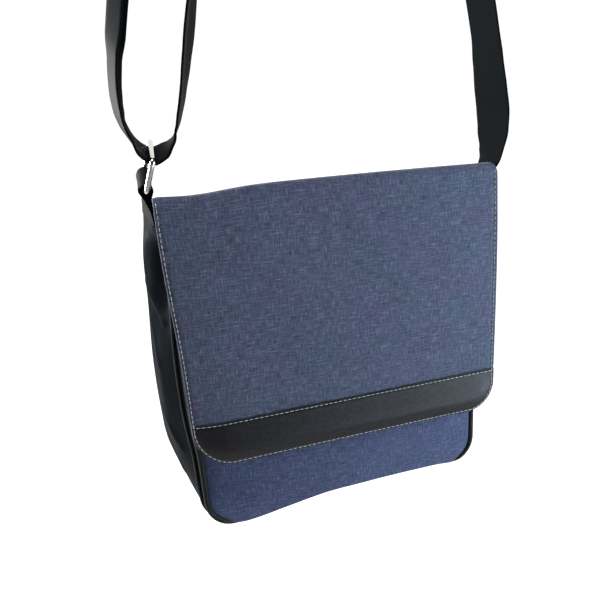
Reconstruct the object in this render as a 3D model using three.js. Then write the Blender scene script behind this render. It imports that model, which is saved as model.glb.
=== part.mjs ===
import * as THREE from 'three';

// Flap satchel, hanging by its shoulder strap. Millimetres, +Z up.
// Bag frame: x to the right, y from the flap's face to the back, z up from the flap's top edge.
// Drops are measured downwards from the flap's top edge.

// Thickness of the materials and the gap kept at a seam
const CLOTH = 1.8;
const SIDE_CLOTH = 1.4;
const BAND_CLOTH = 1.2;
const WEBBING = 1.8;
const SEAM_GAP = 0.3;

// Flap
const FLAP_DROP = 231.8;
const FLAP_CORNER = { left: 33, right: 27 };
const FLAP_FOLD = 7;
const FLAP_HEM = 40;
const FLAP_TOP_HALF = 143.2;
const FLAP_DIP = { x: -118, reach: 34, depth: 3.7, fromDrop: 60, toDepth: 40 };
const FLAP_CROWN = 1.4;
const ROOF_FALL = 9;
const BAND_HEIGHT = 39.8;
const FLAP_EDGES = [
  { drop: 0, left: -146.8, right: 146.3 },
  { drop: 60, left: -145.2, right: 148 },
  { drop: 125, left: -142.3, right: 148 },
  { drop: 234, left: -139, right: 146.3 },
];

// Body: half widths and depths of the pocket's face, the front wall and the back wall.
// The widths are those of the outside of the bound edges.
const BODY_DROP = 296;
const BODY_TOP = { pocket: 88, front: 11, back: 18 };
const BODY_CORNER = { pocket: 27, front: 28, back: 46 };
const CORNER_LEAN = { pocket: 0, front: 0, back: 19 };
const BODY_WIDTHS = [
  { drop: 0, pocket: 142, front: 143, back: 151 },
  { drop: 25, pocket: 142, front: 143.2, back: 153.2 },
  { drop: 50, pocket: 142, front: 143.5, back: 157 },
  { drop: 95, pocket: 142.5, front: 145.5, back: 159 },
  { drop: 150, pocket: 143, front: 147.5, back: 162 },
  { drop: 205, pocket: 141.8, front: 146, back: 161.5 },
  { drop: 228, pocket: 139.5, front: 143.5, back: 160 },
  { drop: 254, pocket: 139, front: 142.5, back: 153 },
  { drop: 300, pocket: 138.5, front: 139, back: 136 },
];
const BODY_DEPTHS = [
  { drop: 0, pocket: 8, front: 10, back: 54 },
  { drop: 95, pocket: 15.5, front: 24.5, back: 66 },
  { drop: 200, pocket: 20, front: 30, back: 79 },
  { drop: 296, pocket: 20, front: 30, back: 88 },
];
const SIDE_TUCK = [
  { drop: 0, tuck: 0 },
  { drop: 34, tuck: 0 },
  { drop: 66, tuck: 9 },
  { drop: 100, tuck: 3 },
  { drop: 140, tuck: -3 },
  { drop: 225, tuck: -3 },
  { drop: 262, tuck: 0 },
];
const CORNER_SAG = {
  fromDrop: 190,
  left: { depth: 10, from: 0, to: 110 },
  right: { depth: 3, from: 90, to: 130 },
};

// Cords round the bound edges: radius at the sides and along the bottom
const BINDING = { pocket: { side: 2.1, bottom: 0.8 }, front: { side: 1.7, bottom: 1 } };
const BINDING_SIDES = 6;

// Rows and columns of the cloth meshes
const SIDE_ROWS = 9;
const CORNER_STEPS = 5;
const LAST_ROW = SIDE_ROWS + CORNER_STEPS;
const PANEL_COLUMNS = 8;
const FLAP_COLUMNS = 16;
const GUSSET_COLUMNS = 6;
const POCKET_COLUMNS = 2;
const HEM_ROWS = 3;
const FOLD_STEPS = 4;
const FLAP_ROWS = 8;
const BAND_ROWS = 2;

// Strap, ring and tab
const STRAP_WIDTH = 38;
const STRAP_DEPTH = 22;
const RING = { wire: 2.1, halfWidth: 22.4, halfHeight: 12.6, corner: 3, sides: 8, cornerSteps: 4 };
const RING_SET = { tilt: 18.4, lean: 16.8, turn: -4 };
const TAB_BAR = new THREE.Vector3(-148.9, 31, 8.5);
const TAB_WIDTH = 37;
const TAB_CLOTH = 1.3;
const TAB_STEPS = 2;
const TAB_COLUMNS = 3;
const KEEPER = { x: -54.6, z: 318, lean: 14.7, bar: 3, height: 8, play: 0.5 };
const LAYER_STEP = 2.4;

// Path of the strap's middle line, from its sewn right end, over the top and back up from the ring.
// turn and tilt swing the width in plan and in side view, cup is the depth of the lengthwise crease.
const STRAP_PATH = [
  { x: 150.1, y: 37.5, z: -34, turn: -18, tilt: 6, cup: 0 },
  { x: 149.6, y: 36, z: -18, turn: -16, tilt: 9, cup: 0 },
  { x: 151.6, y: 31, z: -5, turn: -10, tilt: 12, cup: 0 },
  { x: 154.8, y: 24.5, z: 8, turn: -1, tilt: 8, cup: 0 },
  { x: 155.9, y: 22, z: 26.5, turn: 7, tilt: 0, cup: 0 },
  { x: 155.4, y: 22, z: 43.4, turn: 10, tilt: 0, cup: 0 },
  { x: 153, y: 22, z: 60, turn: 9, tilt: 0, cup: 0 },
  { x: 149.5, y: 22, z: 84.5, turn: 5, tilt: 0, cup: 0 },
  { x: 146, y: 22, z: 108, turn: 1, tilt: 0, cup: 0 },
  { x: 127, y: 22, z: 190, turn: 0, tilt: 0, cup: 0 },
  { x: 98, y: 22, z: 275, turn: 0, tilt: 0, cup: 0 },
  { x: 62, y: 22, z: 351, turn: 0, tilt: 0, cup: 0 },
  { x: 39, y: 22, z: 390, turn: 0, tilt: 0, cup: 0 },
  { x: 20, y: 22, z: 410, turn: 0, tilt: 0, cup: 0 },
  { x: 0, y: 22, z: 417, turn: 0, tilt: 0, cup: 0 },
  { x: -19, y: 22, z: 411, turn: 0, tilt: 0, cup: 0 },
  { x: -33, y: 22, z: 394, turn: 0, tilt: 0, cup: 0 },
  { x: -41, y: 22, z: 370, turn: 0, tilt: 0, cup: 0 },
  { x: -58, y: 22, z: 305, turn: 0, tilt: 0, cup: 0 },
  { x: -80, y: 22, z: 215, turn: 1, tilt: 0, cup: 0 },
  { x: -103.7, y: 22, z: 114, turn: 2.5, tilt: 0, cup: 0 },
  { x: -108.5, y: 22, z: 93.6, turn: 2.5, tilt: 0, cup: 0 },
  { x: -113, y: 22, z: 73, turn: 0, tilt: 0, cup: 0 },
  { x: -117.4, y: 22, z: 56, turn: -3, tilt: 1, cup: 0 },
  { x: -121.6, y: 22, z: 44.5, turn: -4, tilt: 2, cup: 0 },
  { x: -126, y: 22, z: 36.5, turn: -4, tilt: 9, cup: 0 },
  { x: -132.5, y: 23, z: 30.6, turn: -4, tilt: 17, cup: 0 },
  { x: -141.6, y: 24, z: 27.6, turn: -4, tilt: 18.4, cup: 0 },
  { x: -149.8, y: 23, z: 33, turn: -4, tilt: 15, cup: 0 },
  { x: -156, y: 22, z: 42.5, turn: -3, tilt: 7, cup: 2 },
  { x: -160.2, y: 22, z: 52.5, turn: -3, tilt: 5, cup: 3.5 },
  { x: -161.4, y: 22, z: 62, turn: -5, tilt: 2, cup: 5.5 },
  { x: -161, y: 22, z: 75.3, turn: -6, tilt: 0, cup: 7 },
  { x: -157.8, y: 22, z: 95.4, turn: -6, tilt: 0, cup: 8.5 },
  { x: -153.4, y: 22, z: 115, turn: -5, tilt: 0, cup: 12 },
  { x: -142.5, y: 22, z: 165, turn: -3, tilt: 0, cup: 9 },
  { x: -121, y: 22, z: 225, turn: 0, tilt: 0, cup: 4 },
  { x: -86, y: 22, z: 280, turn: 0, tilt: 0, cup: 1 },
  { x: -63.5, y: 22, z: 303, turn: 0, tilt: 0, cup: 0 },
  { x: -56.9, y: 22, z: 318.6, turn: 0, tilt: 0, cup: 0 },
  { x: -49.7, y: 22, z: 346, turn: 0, tilt: 0, cup: 0 },
];
const STRAP_STEPS = 3;
const STRAP_COLUMNS = 4;

// Path of the tab, from its inner end on the side, over the ring's lower bar and down again
const TAB_PATH = [
  { x: -149.1, y: 35.5, z: -21, turn: 16, tilt: 13, cup: 0 },
  { x: -149.3, y: 33.5, z: -12, turn: 13, tilt: 15, cup: 0 },
  { x: -150.4, y: 32, z: -2, turn: 4, tilt: 17, cup: 0 },
  { x: -145.5, y: 31, z: 7.6, turn: -4, tilt: 18.4, cup: 0 },
  { x: -146.3, y: 30.1, z: 11.4, turn: -4, tilt: 18.4, cup: 0 },
  { x: -148.9, y: 29.7, z: 12.6, turn: -4, tilt: 18.4, cup: 0 },
  { x: -152.4, y: 30.1, z: 11.6, turn: -4, tilt: 18.4, cup: 0 },
  { x: -154.6, y: 31, z: 7.5, turn: -2, tilt: 18.4, cup: 0 },
  { x: -153.2, y: 32, z: -2, turn: 4, tilt: 17, cup: 0 },
  { x: -151.2, y: 33.5, z: -12, turn: 13, tilt: 15, cup: 0 },
  { x: -150.8, y: 35.5, z: -21, turn: 16, tilt: 13, cup: 0 },
];

// Where the strap hangs: the under side of its highest point
const HANG_POINT = new THREE.Vector3(0, STRAP_DEPTH, 417 - WEBBING / 2);

const blueCloth = () => new THREE.MeshStandardMaterial({ color: 0x3d4a6b, roughness: 0.9, metalness: 0 });
const blackCoated = () => new THREE.MeshStandardMaterial({ color: 0x1b1d22, roughness: 0.5, metalness: 0 });
const leatherette = () => new THREE.MeshStandardMaterial({ color: 0x17181c, roughness: 0.45, metalness: 0 });
const webbing = () => new THREE.MeshStandardMaterial({ color: 0x1d1f24, roughness: 0.75, metalness: 0 });
const nickel = () => new THREE.MeshStandardMaterial({ color: 0xc9c9c6, roughness: 0.22, metalness: 1 });

// Value of one column of a table at a given drop
function tableValue(table, column, drop) {
  const last = table.length - 1;
  if (drop <= table[0].drop) return table[0][column];
  if (drop >= table[last].drop) return table[last][column];
  const upper = table.findIndex((row) => row.drop > drop);
  const from = table[upper - 1];
  const to = table[upper];
  const share = (drop - from.drop) / (to.drop - from.drop);
  return from[column] + (to[column] - from[column]) * share;
}

// Closed cloth of even thickness round a grid of points on its middle surface
function sheet(rows, thickness) {
  const lastRow = rows.length - 1;
  const lastColumn = rows[0].length - 1;
  const positions = [];
  const index = [];
  for (const face of [0.5, -0.5]) {
    for (let i = 0; i <= lastRow; i += 1) {
      for (let j = 0; j <= lastColumn; j += 1) {
        const along = rows[Math.min(i + 1, lastRow)][j].clone().sub(rows[Math.max(i - 1, 0)][j]);
        const across = rows[i][Math.min(j + 1, lastColumn)].clone().sub(rows[i][Math.max(j - 1, 0)]);
        const normal = along.cross(across).normalize();
        positions.push(...rows[i][j].clone().addScaledVector(normal, face * thickness));
      }
    }
  }
  const outer = (i, j) => i * (lastColumn + 1) + j;
  const inner = (i, j) => outer(i, j) + (lastRow + 1) * (lastColumn + 1);
  const quad = (a, b, c, d) => index.push(a, b, c, a, c, d);
  for (let i = 0; i < lastRow; i += 1) {
    for (let j = 0; j < lastColumn; j += 1) {
      quad(outer(i, j), outer(i + 1, j), outer(i + 1, j + 1), outer(i, j + 1));
      quad(inner(i, j), inner(i, j + 1), inner(i + 1, j + 1), inner(i + 1, j));
    }
    quad(outer(i, 0), inner(i, 0), inner(i + 1, 0), outer(i + 1, 0));
    quad(outer(i + 1, lastColumn), inner(i + 1, lastColumn), inner(i, lastColumn), outer(i, lastColumn));
  }
  for (let j = 0; j < lastColumn; j += 1) {
    quad(outer(0, j), outer(0, j + 1), inner(0, j + 1), inner(0, j));
    quad(outer(lastRow, j + 1), outer(lastRow, j), inner(lastRow, j), inner(lastRow, j + 1));
  }
  return solid(positions, index);
}

// Round wire through a row of points with a radius at each; reference stays off the wire's own direction
function wire(points, reference, radii, sides, closed) {
  const count = points.length;
  const positions = [];
  const index = [];
  points.forEach((point, k) => {
    const before = closed ? points[(k + count - 1) % count] : points[Math.max(k - 1, 0)];
    const after = closed ? points[(k + 1) % count] : points[Math.min(k + 1, count - 1)];
    const tangent = after.clone().sub(before).normalize();
    const first = reference.clone().addScaledVector(tangent, -reference.dot(tangent)).normalize();
    const second = tangent.clone().cross(first);
    for (let s = 0; s < sides; s += 1) {
      const angle = (2 * Math.PI * s) / sides;
      const spot = point.clone();
      spot.addScaledVector(first, radii[k] * Math.cos(angle));
      spot.addScaledVector(second, radii[k] * Math.sin(angle));
      positions.push(...spot);
    }
  });
  const at = (k, s) => (k % count) * sides + (s % sides);
  const spans = closed ? count : count - 1;
  for (let k = 0; k < spans; k += 1) {
    for (let s = 0; s < sides; s += 1) {
      index.push(at(k, s), at(k, s + 1), at(k + 1, s + 1));
      index.push(at(k, s), at(k + 1, s + 1), at(k + 1, s));
    }
  }
  if (!closed) {
    for (let s = 1; s < sides - 1; s += 1) {
      index.push(at(0, 0), at(0, s + 1), at(0, s));
      index.push(at(count - 1, 0), at(count - 1, s), at(count - 1, s + 1));
    }
  }
  return solid(positions, index);
}

function solid(positions, index) {
  const geometry = new THREE.BufferGeometry();
  geometry.setAttribute('position', new THREE.Float32BufferAttribute(positions, 3));
  geometry.setIndex(index);
  geometry.computeVertexNormals();
  return geometry;
}

function piece(name, geometry, material) {
  const mesh = new THREE.Mesh(geometry, material);
  mesh.name = name;
  return mesh;
}

// The bag's lower corners hang lower than its middle, the left one more than the right one
function sag(x, z) {
  const { fromDrop, left, right } = CORNER_SAG;
  const low = THREE.MathUtils.smoothstep(-z, fromDrop, BODY_DROP);
  const leftShare = THREE.MathUtils.smoothstep(-x, left.from, left.to);
  const rightShare = THREE.MathUtils.smoothstep(x, right.from, right.to);
  return z - low * (left.depth * leftShare + right.depth * rightShare);
}

// Half width and height of one row of a body section: the side rows first, then the round corner.
// An inset draws the outline in all round.
function sectionRow(section, i, inset, topDrop) {
  const lean = THREE.MathUtils.degToRad(CORNER_LEAN[section]);
  const radius = BODY_CORNER[section];
  const cornerDrop = BODY_DROP - radius * (1 - Math.sin(lean));
  if (i <= SIDE_ROWS) {
    const drop = THREE.MathUtils.lerp(topDrop, cornerDrop, i / SIDE_ROWS);
    return { half: tableValue(BODY_WIDTHS, section, drop) - inset, z: -drop };
  }
  const angle = THREE.MathUtils.lerp(lean, Math.PI / 2, (i - SIDE_ROWS) / CORNER_STEPS);
  const centreHalf = tableValue(BODY_WIDTHS, section, cornerDrop) - radius * Math.cos(lean);
  const half = centreHalf + (radius - inset) * Math.cos(angle);
  return { half, z: radius - BODY_DROP - (radius - inset) * Math.sin(angle) };
}

// Point of a body section's grid, moved back from the section's face by an offset
function sectionPoint(section, i, j, inset, offset, topDrop = BODY_TOP[section]) {
  const row = sectionRow(section, i, inset, topDrop);
  const x = ((2 * j) / PANEL_COLUMNS - 1) * row.half;
  const y = tableValue(BODY_DEPTHS, section, -row.z) + offset;
  return new THREE.Vector3(x, y, sag(x, row.z));
}

// How far a row has come round the corner to where the edge turns under the bag
function underShare(i) {
  return THREE.MathUtils.smoothstep(i, SIDE_ROWS + 2, LAST_ROW);
}

// Radius of the bound edge at a row; it thins out under the bag
function bindingRadius(section, i) {
  return THREE.MathUtils.lerp(BINDING[section].side, BINDING[section].bottom, underShare(i));
}

function panelRows(section) {
  const rows = [];
  for (let i = 0; i <= LAST_ROW; i += 1) {
    const inset = section in BINDING ? 2 * bindingRadius(section, i) + SEAM_GAP : 0;
    const row = [];
    for (let j = 0; j <= PANEL_COLUMNS; j += 1) {
      row.push(sectionPoint(section, i, j, inset, CLOTH / 2));
    }
    rows.push(row);
  }
  return rows;
}

// Edge of a body section: down the left side, along the bottom and up the right side
function sectionRim(section, insetAt, offset, topDrop) {
  const rim = [];
  const add = (i, j) => rim.push(sectionPoint(section, i, j, insetAt(i), offset, topDrop));
  for (let i = 0; i <= LAST_ROW; i += 1) add(i, 0);
  for (let j = 1; j < PANEL_COLUMNS; j += 1) add(LAST_ROW, j);
  for (let i = LAST_ROW; i >= 0; i -= 1) add(i, PANEL_COLUMNS);
  return rim;
}

// Strip between two rims, drawn inwards in the middle of its depth by a tuck
function stripRows(frontRim, backRim, columns, tuckAt) {
  return frontRim.map((front, k) => {
    const row = [];
    for (let j = 0; j <= columns; j += 1) {
      const share = j / columns;
      const point = front.clone().lerp(backRim[k], share);
      point.x -= Math.sign(point.x) * tuckAt(-point.z) * Math.sin(Math.PI * share) ** 2;
      row.push(point);
    }
    return row;
  });
}

// Bound edge: a round cord along a rim, from a given row on both sides
function binding(section, firstRow) {
  const radiusAt = (i) => bindingRadius(section, i);
  const points = sectionRim(section, radiusAt, CLOTH / 2);
  const rows = points.map((point, k) => Math.min(k, points.length - 1 - k, LAST_ROW));
  const last = points.length - firstRow;
  const radii = rows.map(radiusAt).slice(firstRow, last);
  return wire(points.slice(firstRow, last), new THREE.Vector3(0, 1, 0), radii, BINDING_SIDES, false);
}

function makeBody() {
  const body = new THREE.Group();
  const behind = (section) => CLOTH / 2 + BINDING[section].side + 3 * SEAM_GAP;
  const under = (section) => (i) => BINDING[section].side * (1 - underShare(i));
  const clear = () => 2 * BINDING.front.side + SEAM_GAP + SIDE_CLOTH;
  const none = () => 0;
  const pocketRims = [
    sectionRim('pocket', under('pocket'), behind('pocket')),
    sectionRim('front', clear, -3 * SEAM_GAP, BODY_TOP.pocket),
  ];
  const sideRims = [
    sectionRim('front', under('front'), behind('front')),
    sectionRim('back', none, -3 * SEAM_GAP),
  ];
  const sideTuck = (drop) => tableValue(SIDE_TUCK, 'tuck', drop);
  const pocketSide = stripRows(...pocketRims, POCKET_COLUMNS, none);
  const gusset = stripRows(...sideRims, GUSSET_COLUMNS, sideTuck);
  body.add(piece('pocket_front', sheet(panelRows('pocket'), CLOTH), blueCloth()));
  body.add(piece('pocket_side', sheet(pocketSide, SIDE_CLOTH), blackCoated()));
  body.add(piece('pocket_binding', binding('pocket', 0), leatherette()));
  body.add(piece('front_panel', sheet(panelRows('front'), CLOTH), blueCloth()));
  body.add(piece('front_binding', binding('front', 1), leatherette()));
  body.add(piece('gusset', sheet(gusset, SIDE_CLOTH), blackCoated()));
  body.add(piece('back_panel', sheet(panelRows('back'), CLOTH), blueCloth()));
  return body;
}

// Left or right edge of the flap's front at a drop, with its round lower corner
function flapEdge(side, drop) {
  const radius = FLAP_CORNER[side];
  const edge = tableValue(FLAP_EDGES, side, drop);
  const into = Math.max(drop - (FLAP_DROP - radius), 0);
  const draw = radius - Math.sqrt(Math.max(radius ** 2 - into ** 2, 0));
  return edge - Math.sign(edge) * draw;
}

// Drops of the rows on the flap's front; the corner rows are spaced by angle
function frontDrops(fromDrop, straightRows) {
  const radius = Math.max(FLAP_CORNER.left, FLAP_CORNER.right);
  const cornerDrop = FLAP_DROP - radius;
  const drops = [];
  for (let i = 0; i < straightRows; i += 1) {
    drops.push(THREE.MathUtils.lerp(fromDrop, cornerDrop, i / straightRows));
  }
  for (let i = 0; i <= CORNER_STEPS; i += 1) {
    drops.push(cornerDrop + radius * Math.sin((Math.PI / 2) * (i / CORNER_STEPS)));
  }
  return drops;
}

// One row across the flap; the front's top edge is crowned and dips near its left end
function flapRow(y, z, left, right) {
  const row = [];
  const { fromDrop, toDepth } = FLAP_DIP;
  const share = THREE.MathUtils.smoothstep(z, -fromDrop, 0) * (1 - THREE.MathUtils.smoothstep(y, 0, toDepth));
  for (let j = 0; j <= FLAP_COLUMNS; j += 1) {
    const x = THREE.MathUtils.lerp(left, right, j / FLAP_COLUMNS);
    const crown = FLAP_CROWN * (1 - (x / left) ** 2);
    const dip = FLAP_DIP.depth * Math.exp(-(((x - FLAP_DIP.x) / FLAP_DIP.reach) ** 2));
    row.push(new THREE.Vector3(x, y, z + (crown - dip) * share));
  }
  return row;
}

// Rows of the flap's middle surface, from the rear hem over the two folds to the lower edge
function flapRows() {
  const rows = [];
  const half = FLAP_TOP_HALF;
  const faceDepth = CLOTH / 2;
  const rearOffset = 1.5 * CLOTH + 2 * SEAM_GAP;
  const backDepth = (drop) => tableValue(BODY_DEPTHS, 'back', drop) + rearOffset;
  const foldDrop = FLAP_FOLD + CLOTH / 2;
  const rearDrop = foldDrop + ROOF_FALL;
  for (let i = 0; i < HEM_ROWS; i += 1) {
    const drop = THREE.MathUtils.lerp(FLAP_HEM, rearDrop, i / HEM_ROWS);
    rows.push(flapRow(backDepth(drop), -drop, -half, half));
  }
  const rearCentre = backDepth(rearDrop) - FLAP_FOLD;
  for (let i = 0; i <= FOLD_STEPS; i += 1) {
    const angle = (Math.PI / 2) * (i / FOLD_STEPS);
    const y = rearCentre + FLAP_FOLD * Math.cos(angle);
    rows.push(flapRow(y, FLAP_FOLD * Math.sin(angle) - rearDrop, -half, half));
  }
  const frontCentre = faceDepth + FLAP_FOLD;
  rows.push(flapRow((rearCentre + frontCentre) / 2, FLAP_FOLD - (foldDrop + rearDrop) / 2, -half, half));
  for (let i = 0; i <= FOLD_STEPS; i += 1) {
    const share = i / FOLD_STEPS;
    const angle = (Math.PI / 2) * share;
    const left = THREE.MathUtils.lerp(-half, flapEdge('left', foldDrop), share);
    const right = THREE.MathUtils.lerp(half, flapEdge('right', foldDrop), share);
    const y = frontCentre - FLAP_FOLD * Math.sin(angle);
    rows.push(flapRow(y, FLAP_FOLD * Math.cos(angle) - foldDrop, left, right));
  }
  for (const drop of frontDrops(foldDrop, FLAP_ROWS).slice(1)) {
    rows.push(flapRow(faceDepth, -drop, flapEdge('left', drop), flapEdge('right', drop)));
  }
  return rows;
}

function bandRows() {
  const depth = -SEAM_GAP - BAND_CLOTH / 2;
  const drops = frontDrops(FLAP_DROP - BAND_HEIGHT, BAND_ROWS);
  return drops.map((drop) => flapRow(depth, -drop, flapEdge('left', drop), flapEdge('right', drop)));
}

function makeFlap() {
  const flap = new THREE.Group();
  flap.add(piece('flap', sheet(flapRows(), CLOTH), blueCloth()));
  flap.add(piece('flap_band', sheet(bandRows(), BAND_CLOTH), leatherette()));
  return flap;
}

// Rows of a flat band that follows a path table, turned, tilted and cupped as its columns say
function ribbonRows(path, width, steps, columns) {
  const corners = path.map((row) => new THREE.Vector3(row.x, row.y, row.z));
  const curve = new THREE.CatmullRomCurve3(corners, false, 'centripetal');
  const last = path.length - 1;
  const rows = [];
  for (let k = 0; k <= last * steps; k += 1) {
    const at = k / steps;
    const from = path[Math.floor(at)];
    const to = path[Math.min(Math.floor(at) + 1, last)];
    const share = THREE.MathUtils.smoothstep(at - Math.floor(at), 0, 1);
    const blend = (column) => THREE.MathUtils.lerp(from[column], to[column], share);
    const cup = blend('cup');
    const centre = curve.getPoint(at / last);
    const tangent = curve.getTangent(at / last);
    const across = widthwise(blend('turn'), blend('tilt'));
    across.addScaledVector(tangent, -across.dot(tangent)).normalize();
    const outward = tangent.clone().cross(across);
    const chord = width - (8 * cup * cup) / (3 * width);
    const row = [];
    for (let j = 0; j <= columns; j += 1) {
      const side = (2 * j) / columns - 1;
      const point = centre.clone().addScaledVector(across, (side * chord) / 2);
      row.push(point.addScaledVector(outward, cup * (0.5 - side * side)));
    }
    rows.push(row);
  }
  return rows;
}

// Direction across a band, front to back: swung in plan by turn and raised at the back by tilt
function widthwise(turn, tilt) {
  const swing = THREE.MathUtils.degToRad(turn);
  const rise = THREE.MathUtils.degToRad(tilt);
  const level = Math.cos(rise);
  return new THREE.Vector3(-Math.sin(swing) * level, Math.cos(swing) * level, Math.sin(rise));
}

// Axes of the ring: along its bars, down its sides and out of its plane
function ringAxes() {
  const along = widthwise(RING_SET.turn, RING_SET.tilt);
  const lean = THREE.MathUtils.degToRad(RING_SET.lean);
  const down = new THREE.Vector3(-Math.sin(lean), 0, -Math.cos(lean));
  down.addScaledVector(along, -along.dot(down)).normalize();
  return { along, down, normal: along.clone().cross(down) };
}

function ringPoints() {
  const { along, down } = ringAxes();
  const centre = TAB_BAR.clone().addScaledVector(down, -RING.halfHeight);
  const points = [];
  const corners = [[1, 1], [-1, 1], [-1, -1], [1, -1]];
  const straightAlong = RING.halfWidth - RING.corner;
  const straightDown = RING.halfHeight - RING.corner;
  corners.forEach(([alongSign, downSign], corner) => {
    for (let step = 0; step <= RING.cornerSteps; step += 1) {
      const angle = (Math.PI / 2) * (corner + step / RING.cornerSteps);
      const point = centre.clone();
      point.addScaledVector(along, alongSign * straightAlong + RING.corner * Math.cos(angle));
      point.addScaledVector(down, downSign * straightDown + RING.corner * Math.sin(angle));
      points.push(point);
    }
  });
  return points;
}

function rectangle(path, halfX, halfY) {
  path.moveTo(-halfX, -halfY);
  path.lineTo(halfX, -halfY);
  path.lineTo(halfX, halfY);
  path.lineTo(-halfX, halfY);
  path.closePath();
  return path;
}

function makeKeeper() {
  const slotHalfX = (LAYER_STEP + WEBBING) / 2 + KEEPER.play;
  const slotHalfY = STRAP_WIDTH / 2 + KEEPER.play;
  const frame = rectangle(new THREE.Shape(), slotHalfX + KEEPER.bar, slotHalfY + KEEPER.bar);
  frame.holes.push(rectangle(new THREE.Path(), slotHalfX, slotHalfY));
  const geometry = new THREE.ExtrudeGeometry(frame, { depth: KEEPER.height, bevelEnabled: false });
  geometry.translate(-LAYER_STEP / 2, 0, -KEEPER.height / 2);
  const keeper = piece('strap_keeper', geometry, nickel());
  keeper.position.set(KEEPER.x, STRAP_DEPTH, KEEPER.z);
  keeper.rotation.y = THREE.MathUtils.degToRad(KEEPER.lean);
  return keeper;
}

function makeCarrier() {
  const carrier = new THREE.Group();
  const strapRows = ribbonRows(STRAP_PATH, STRAP_WIDTH, STRAP_STEPS, STRAP_COLUMNS);
  const tabRows = ribbonRows(TAB_PATH, TAB_WIDTH, TAB_STEPS, TAB_COLUMNS);
  const loop = ringPoints();
  const wireRadii = loop.map(() => RING.wire);
  carrier.add(piece('shoulder_strap', sheet(strapRows, WEBBING), webbing()));
  carrier.add(piece('ring_tab', sheet(tabRows, TAB_CLOTH), webbing()));
  carrier.add(piece('ring', wire(loop, ringAxes().normal, wireRadii, RING.sides, true), nickel()));
  carrier.add(makeKeeper());
  return carrier;
}

const satchel = new THREE.Group();
satchel.add(makeBody(), makeFlap(), makeCarrier());
satchel.position.copy(HANG_POINT).negate();

export default satchel;
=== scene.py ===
import functools
import math

import bpy
import numpy as np
from bpy.props import FloatProperty, FloatVectorProperty, IntProperty, PointerProperty
from mathutils import Matrix


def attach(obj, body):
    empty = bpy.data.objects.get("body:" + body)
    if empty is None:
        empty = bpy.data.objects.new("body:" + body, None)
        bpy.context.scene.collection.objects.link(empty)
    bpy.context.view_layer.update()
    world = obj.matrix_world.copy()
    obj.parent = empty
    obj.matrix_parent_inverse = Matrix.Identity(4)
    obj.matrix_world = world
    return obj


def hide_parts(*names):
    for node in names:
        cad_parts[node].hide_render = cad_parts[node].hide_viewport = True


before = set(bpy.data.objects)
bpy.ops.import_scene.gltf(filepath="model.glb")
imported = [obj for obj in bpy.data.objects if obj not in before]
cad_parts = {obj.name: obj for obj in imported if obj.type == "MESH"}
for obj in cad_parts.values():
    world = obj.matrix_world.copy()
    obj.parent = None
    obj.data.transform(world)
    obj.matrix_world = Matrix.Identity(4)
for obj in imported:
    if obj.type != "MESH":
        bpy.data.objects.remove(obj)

bl_info = {
    "name": "Flap Satchel",
    "version": (1, 0, 0),
    "blender": (4, 5, 0),
    "location": "3D View > Sidebar > Satchel",
    "description": "Builds the cloth, webbing, metal and stitching of a flap satchel",
    "category": "Add Mesh",
}

# Tables are in millimetres in the bag frame: x to the right, y from the flap's face to the back,
# z up from the flap's top edge. Drops are measured downwards from that edge.
MM = 0.001
STRAP_DEPTH = 22.0
HANG_POINT = np.array((0, STRAP_DEPTH, 416.1))

# Flap: drop, left edge, right edge
FLAP_DROP = 231.8
FLAP_EDGES = np.array([
    (0, -147.2, 146.3),
    (60, -146, 148),
    (125, -142.8, 148),
    (234, -141, 146.3),
])
EDGE_COLUMN = {"left": 1, "right": 2}
EDGE_SIGN = {"left": -1, "right": 1}
FLAP_CORNER = {"left": 33.0, "right": 27.0}
FLAP_FOLD = 7.0
FLAP_HEM = 40.0
FLAP_TOP_HALF = 143.2
FLAP_REAR_GAP = 0.6
FLAP_DIP = {"x": -118.0, "reach": 34.0, "depth": 3.7, "from_drop": 60.0, "to_depth": 40.0}
FLAP_CROWN = 1.4
ROOF_FALL = 9.0
# Share of the front fold over which the left edge comes out to the width of the front
LEFT_FLARE = 0.3
# Drops over which the fold runs out into the front, and how far from the edges the waves are whole
FRONT_START = (6.0, 14.0)
CALM_EDGE = 60.0
# The edges roll back, the right one less, and the left side bends back, more so low down
EDGE_ROLL = {"slope": 0.5, "round": 0.4, "right_share": 0.35, "right": (60.0, 130.0)}
LEFT_BEND = {"depth": 2.5, "low_depth": 5.0, "reach": 32.0, "start": (6.0, 40.0), "low": (150.0, 200.0)}
# Turned hem and the furrow of its seam: heights in shares of the hem's rise, then distances
HEM = {"rise": 0.6, "end": (6.5, 9.5)}
FURROW = {"depth": 1.6, "inner": 2.4, "outer": 0.8}

# Band across the flap. Its crown starts inside the outline, and rises over shares of the band's height.
# The hem of the cloth ends a little above the band.
BAND_HEIGHT = 39.8
BAND_TOP = FLAP_DROP - BAND_HEIGHT
BAND_GAP = 0.1
BAND_CROWN = {"height": 2.0, "start": 1.0, "edge_share": 0.35, "top_share": 0.7}
BAND_FURROW = {"depth": 0.5, "width": 1.4}
HEM_ABOVE_BAND = (-4.0, -1.0)

# Stitching: depth of the thread on the cloth and on the band, the climb from one to the other,
# how far it sinks in at the left edge, and the free ends of its rows
STITCH_DEPTH = {"cloth": -0.25, "band": -1.5}
STITCH_CLIMB = (-1.5, 0.5)
LEFT_SINK = {"depth": 0.35, "fade": 20.0}
STITCH_START = 0.5
SEAM_END = 3.0

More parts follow.
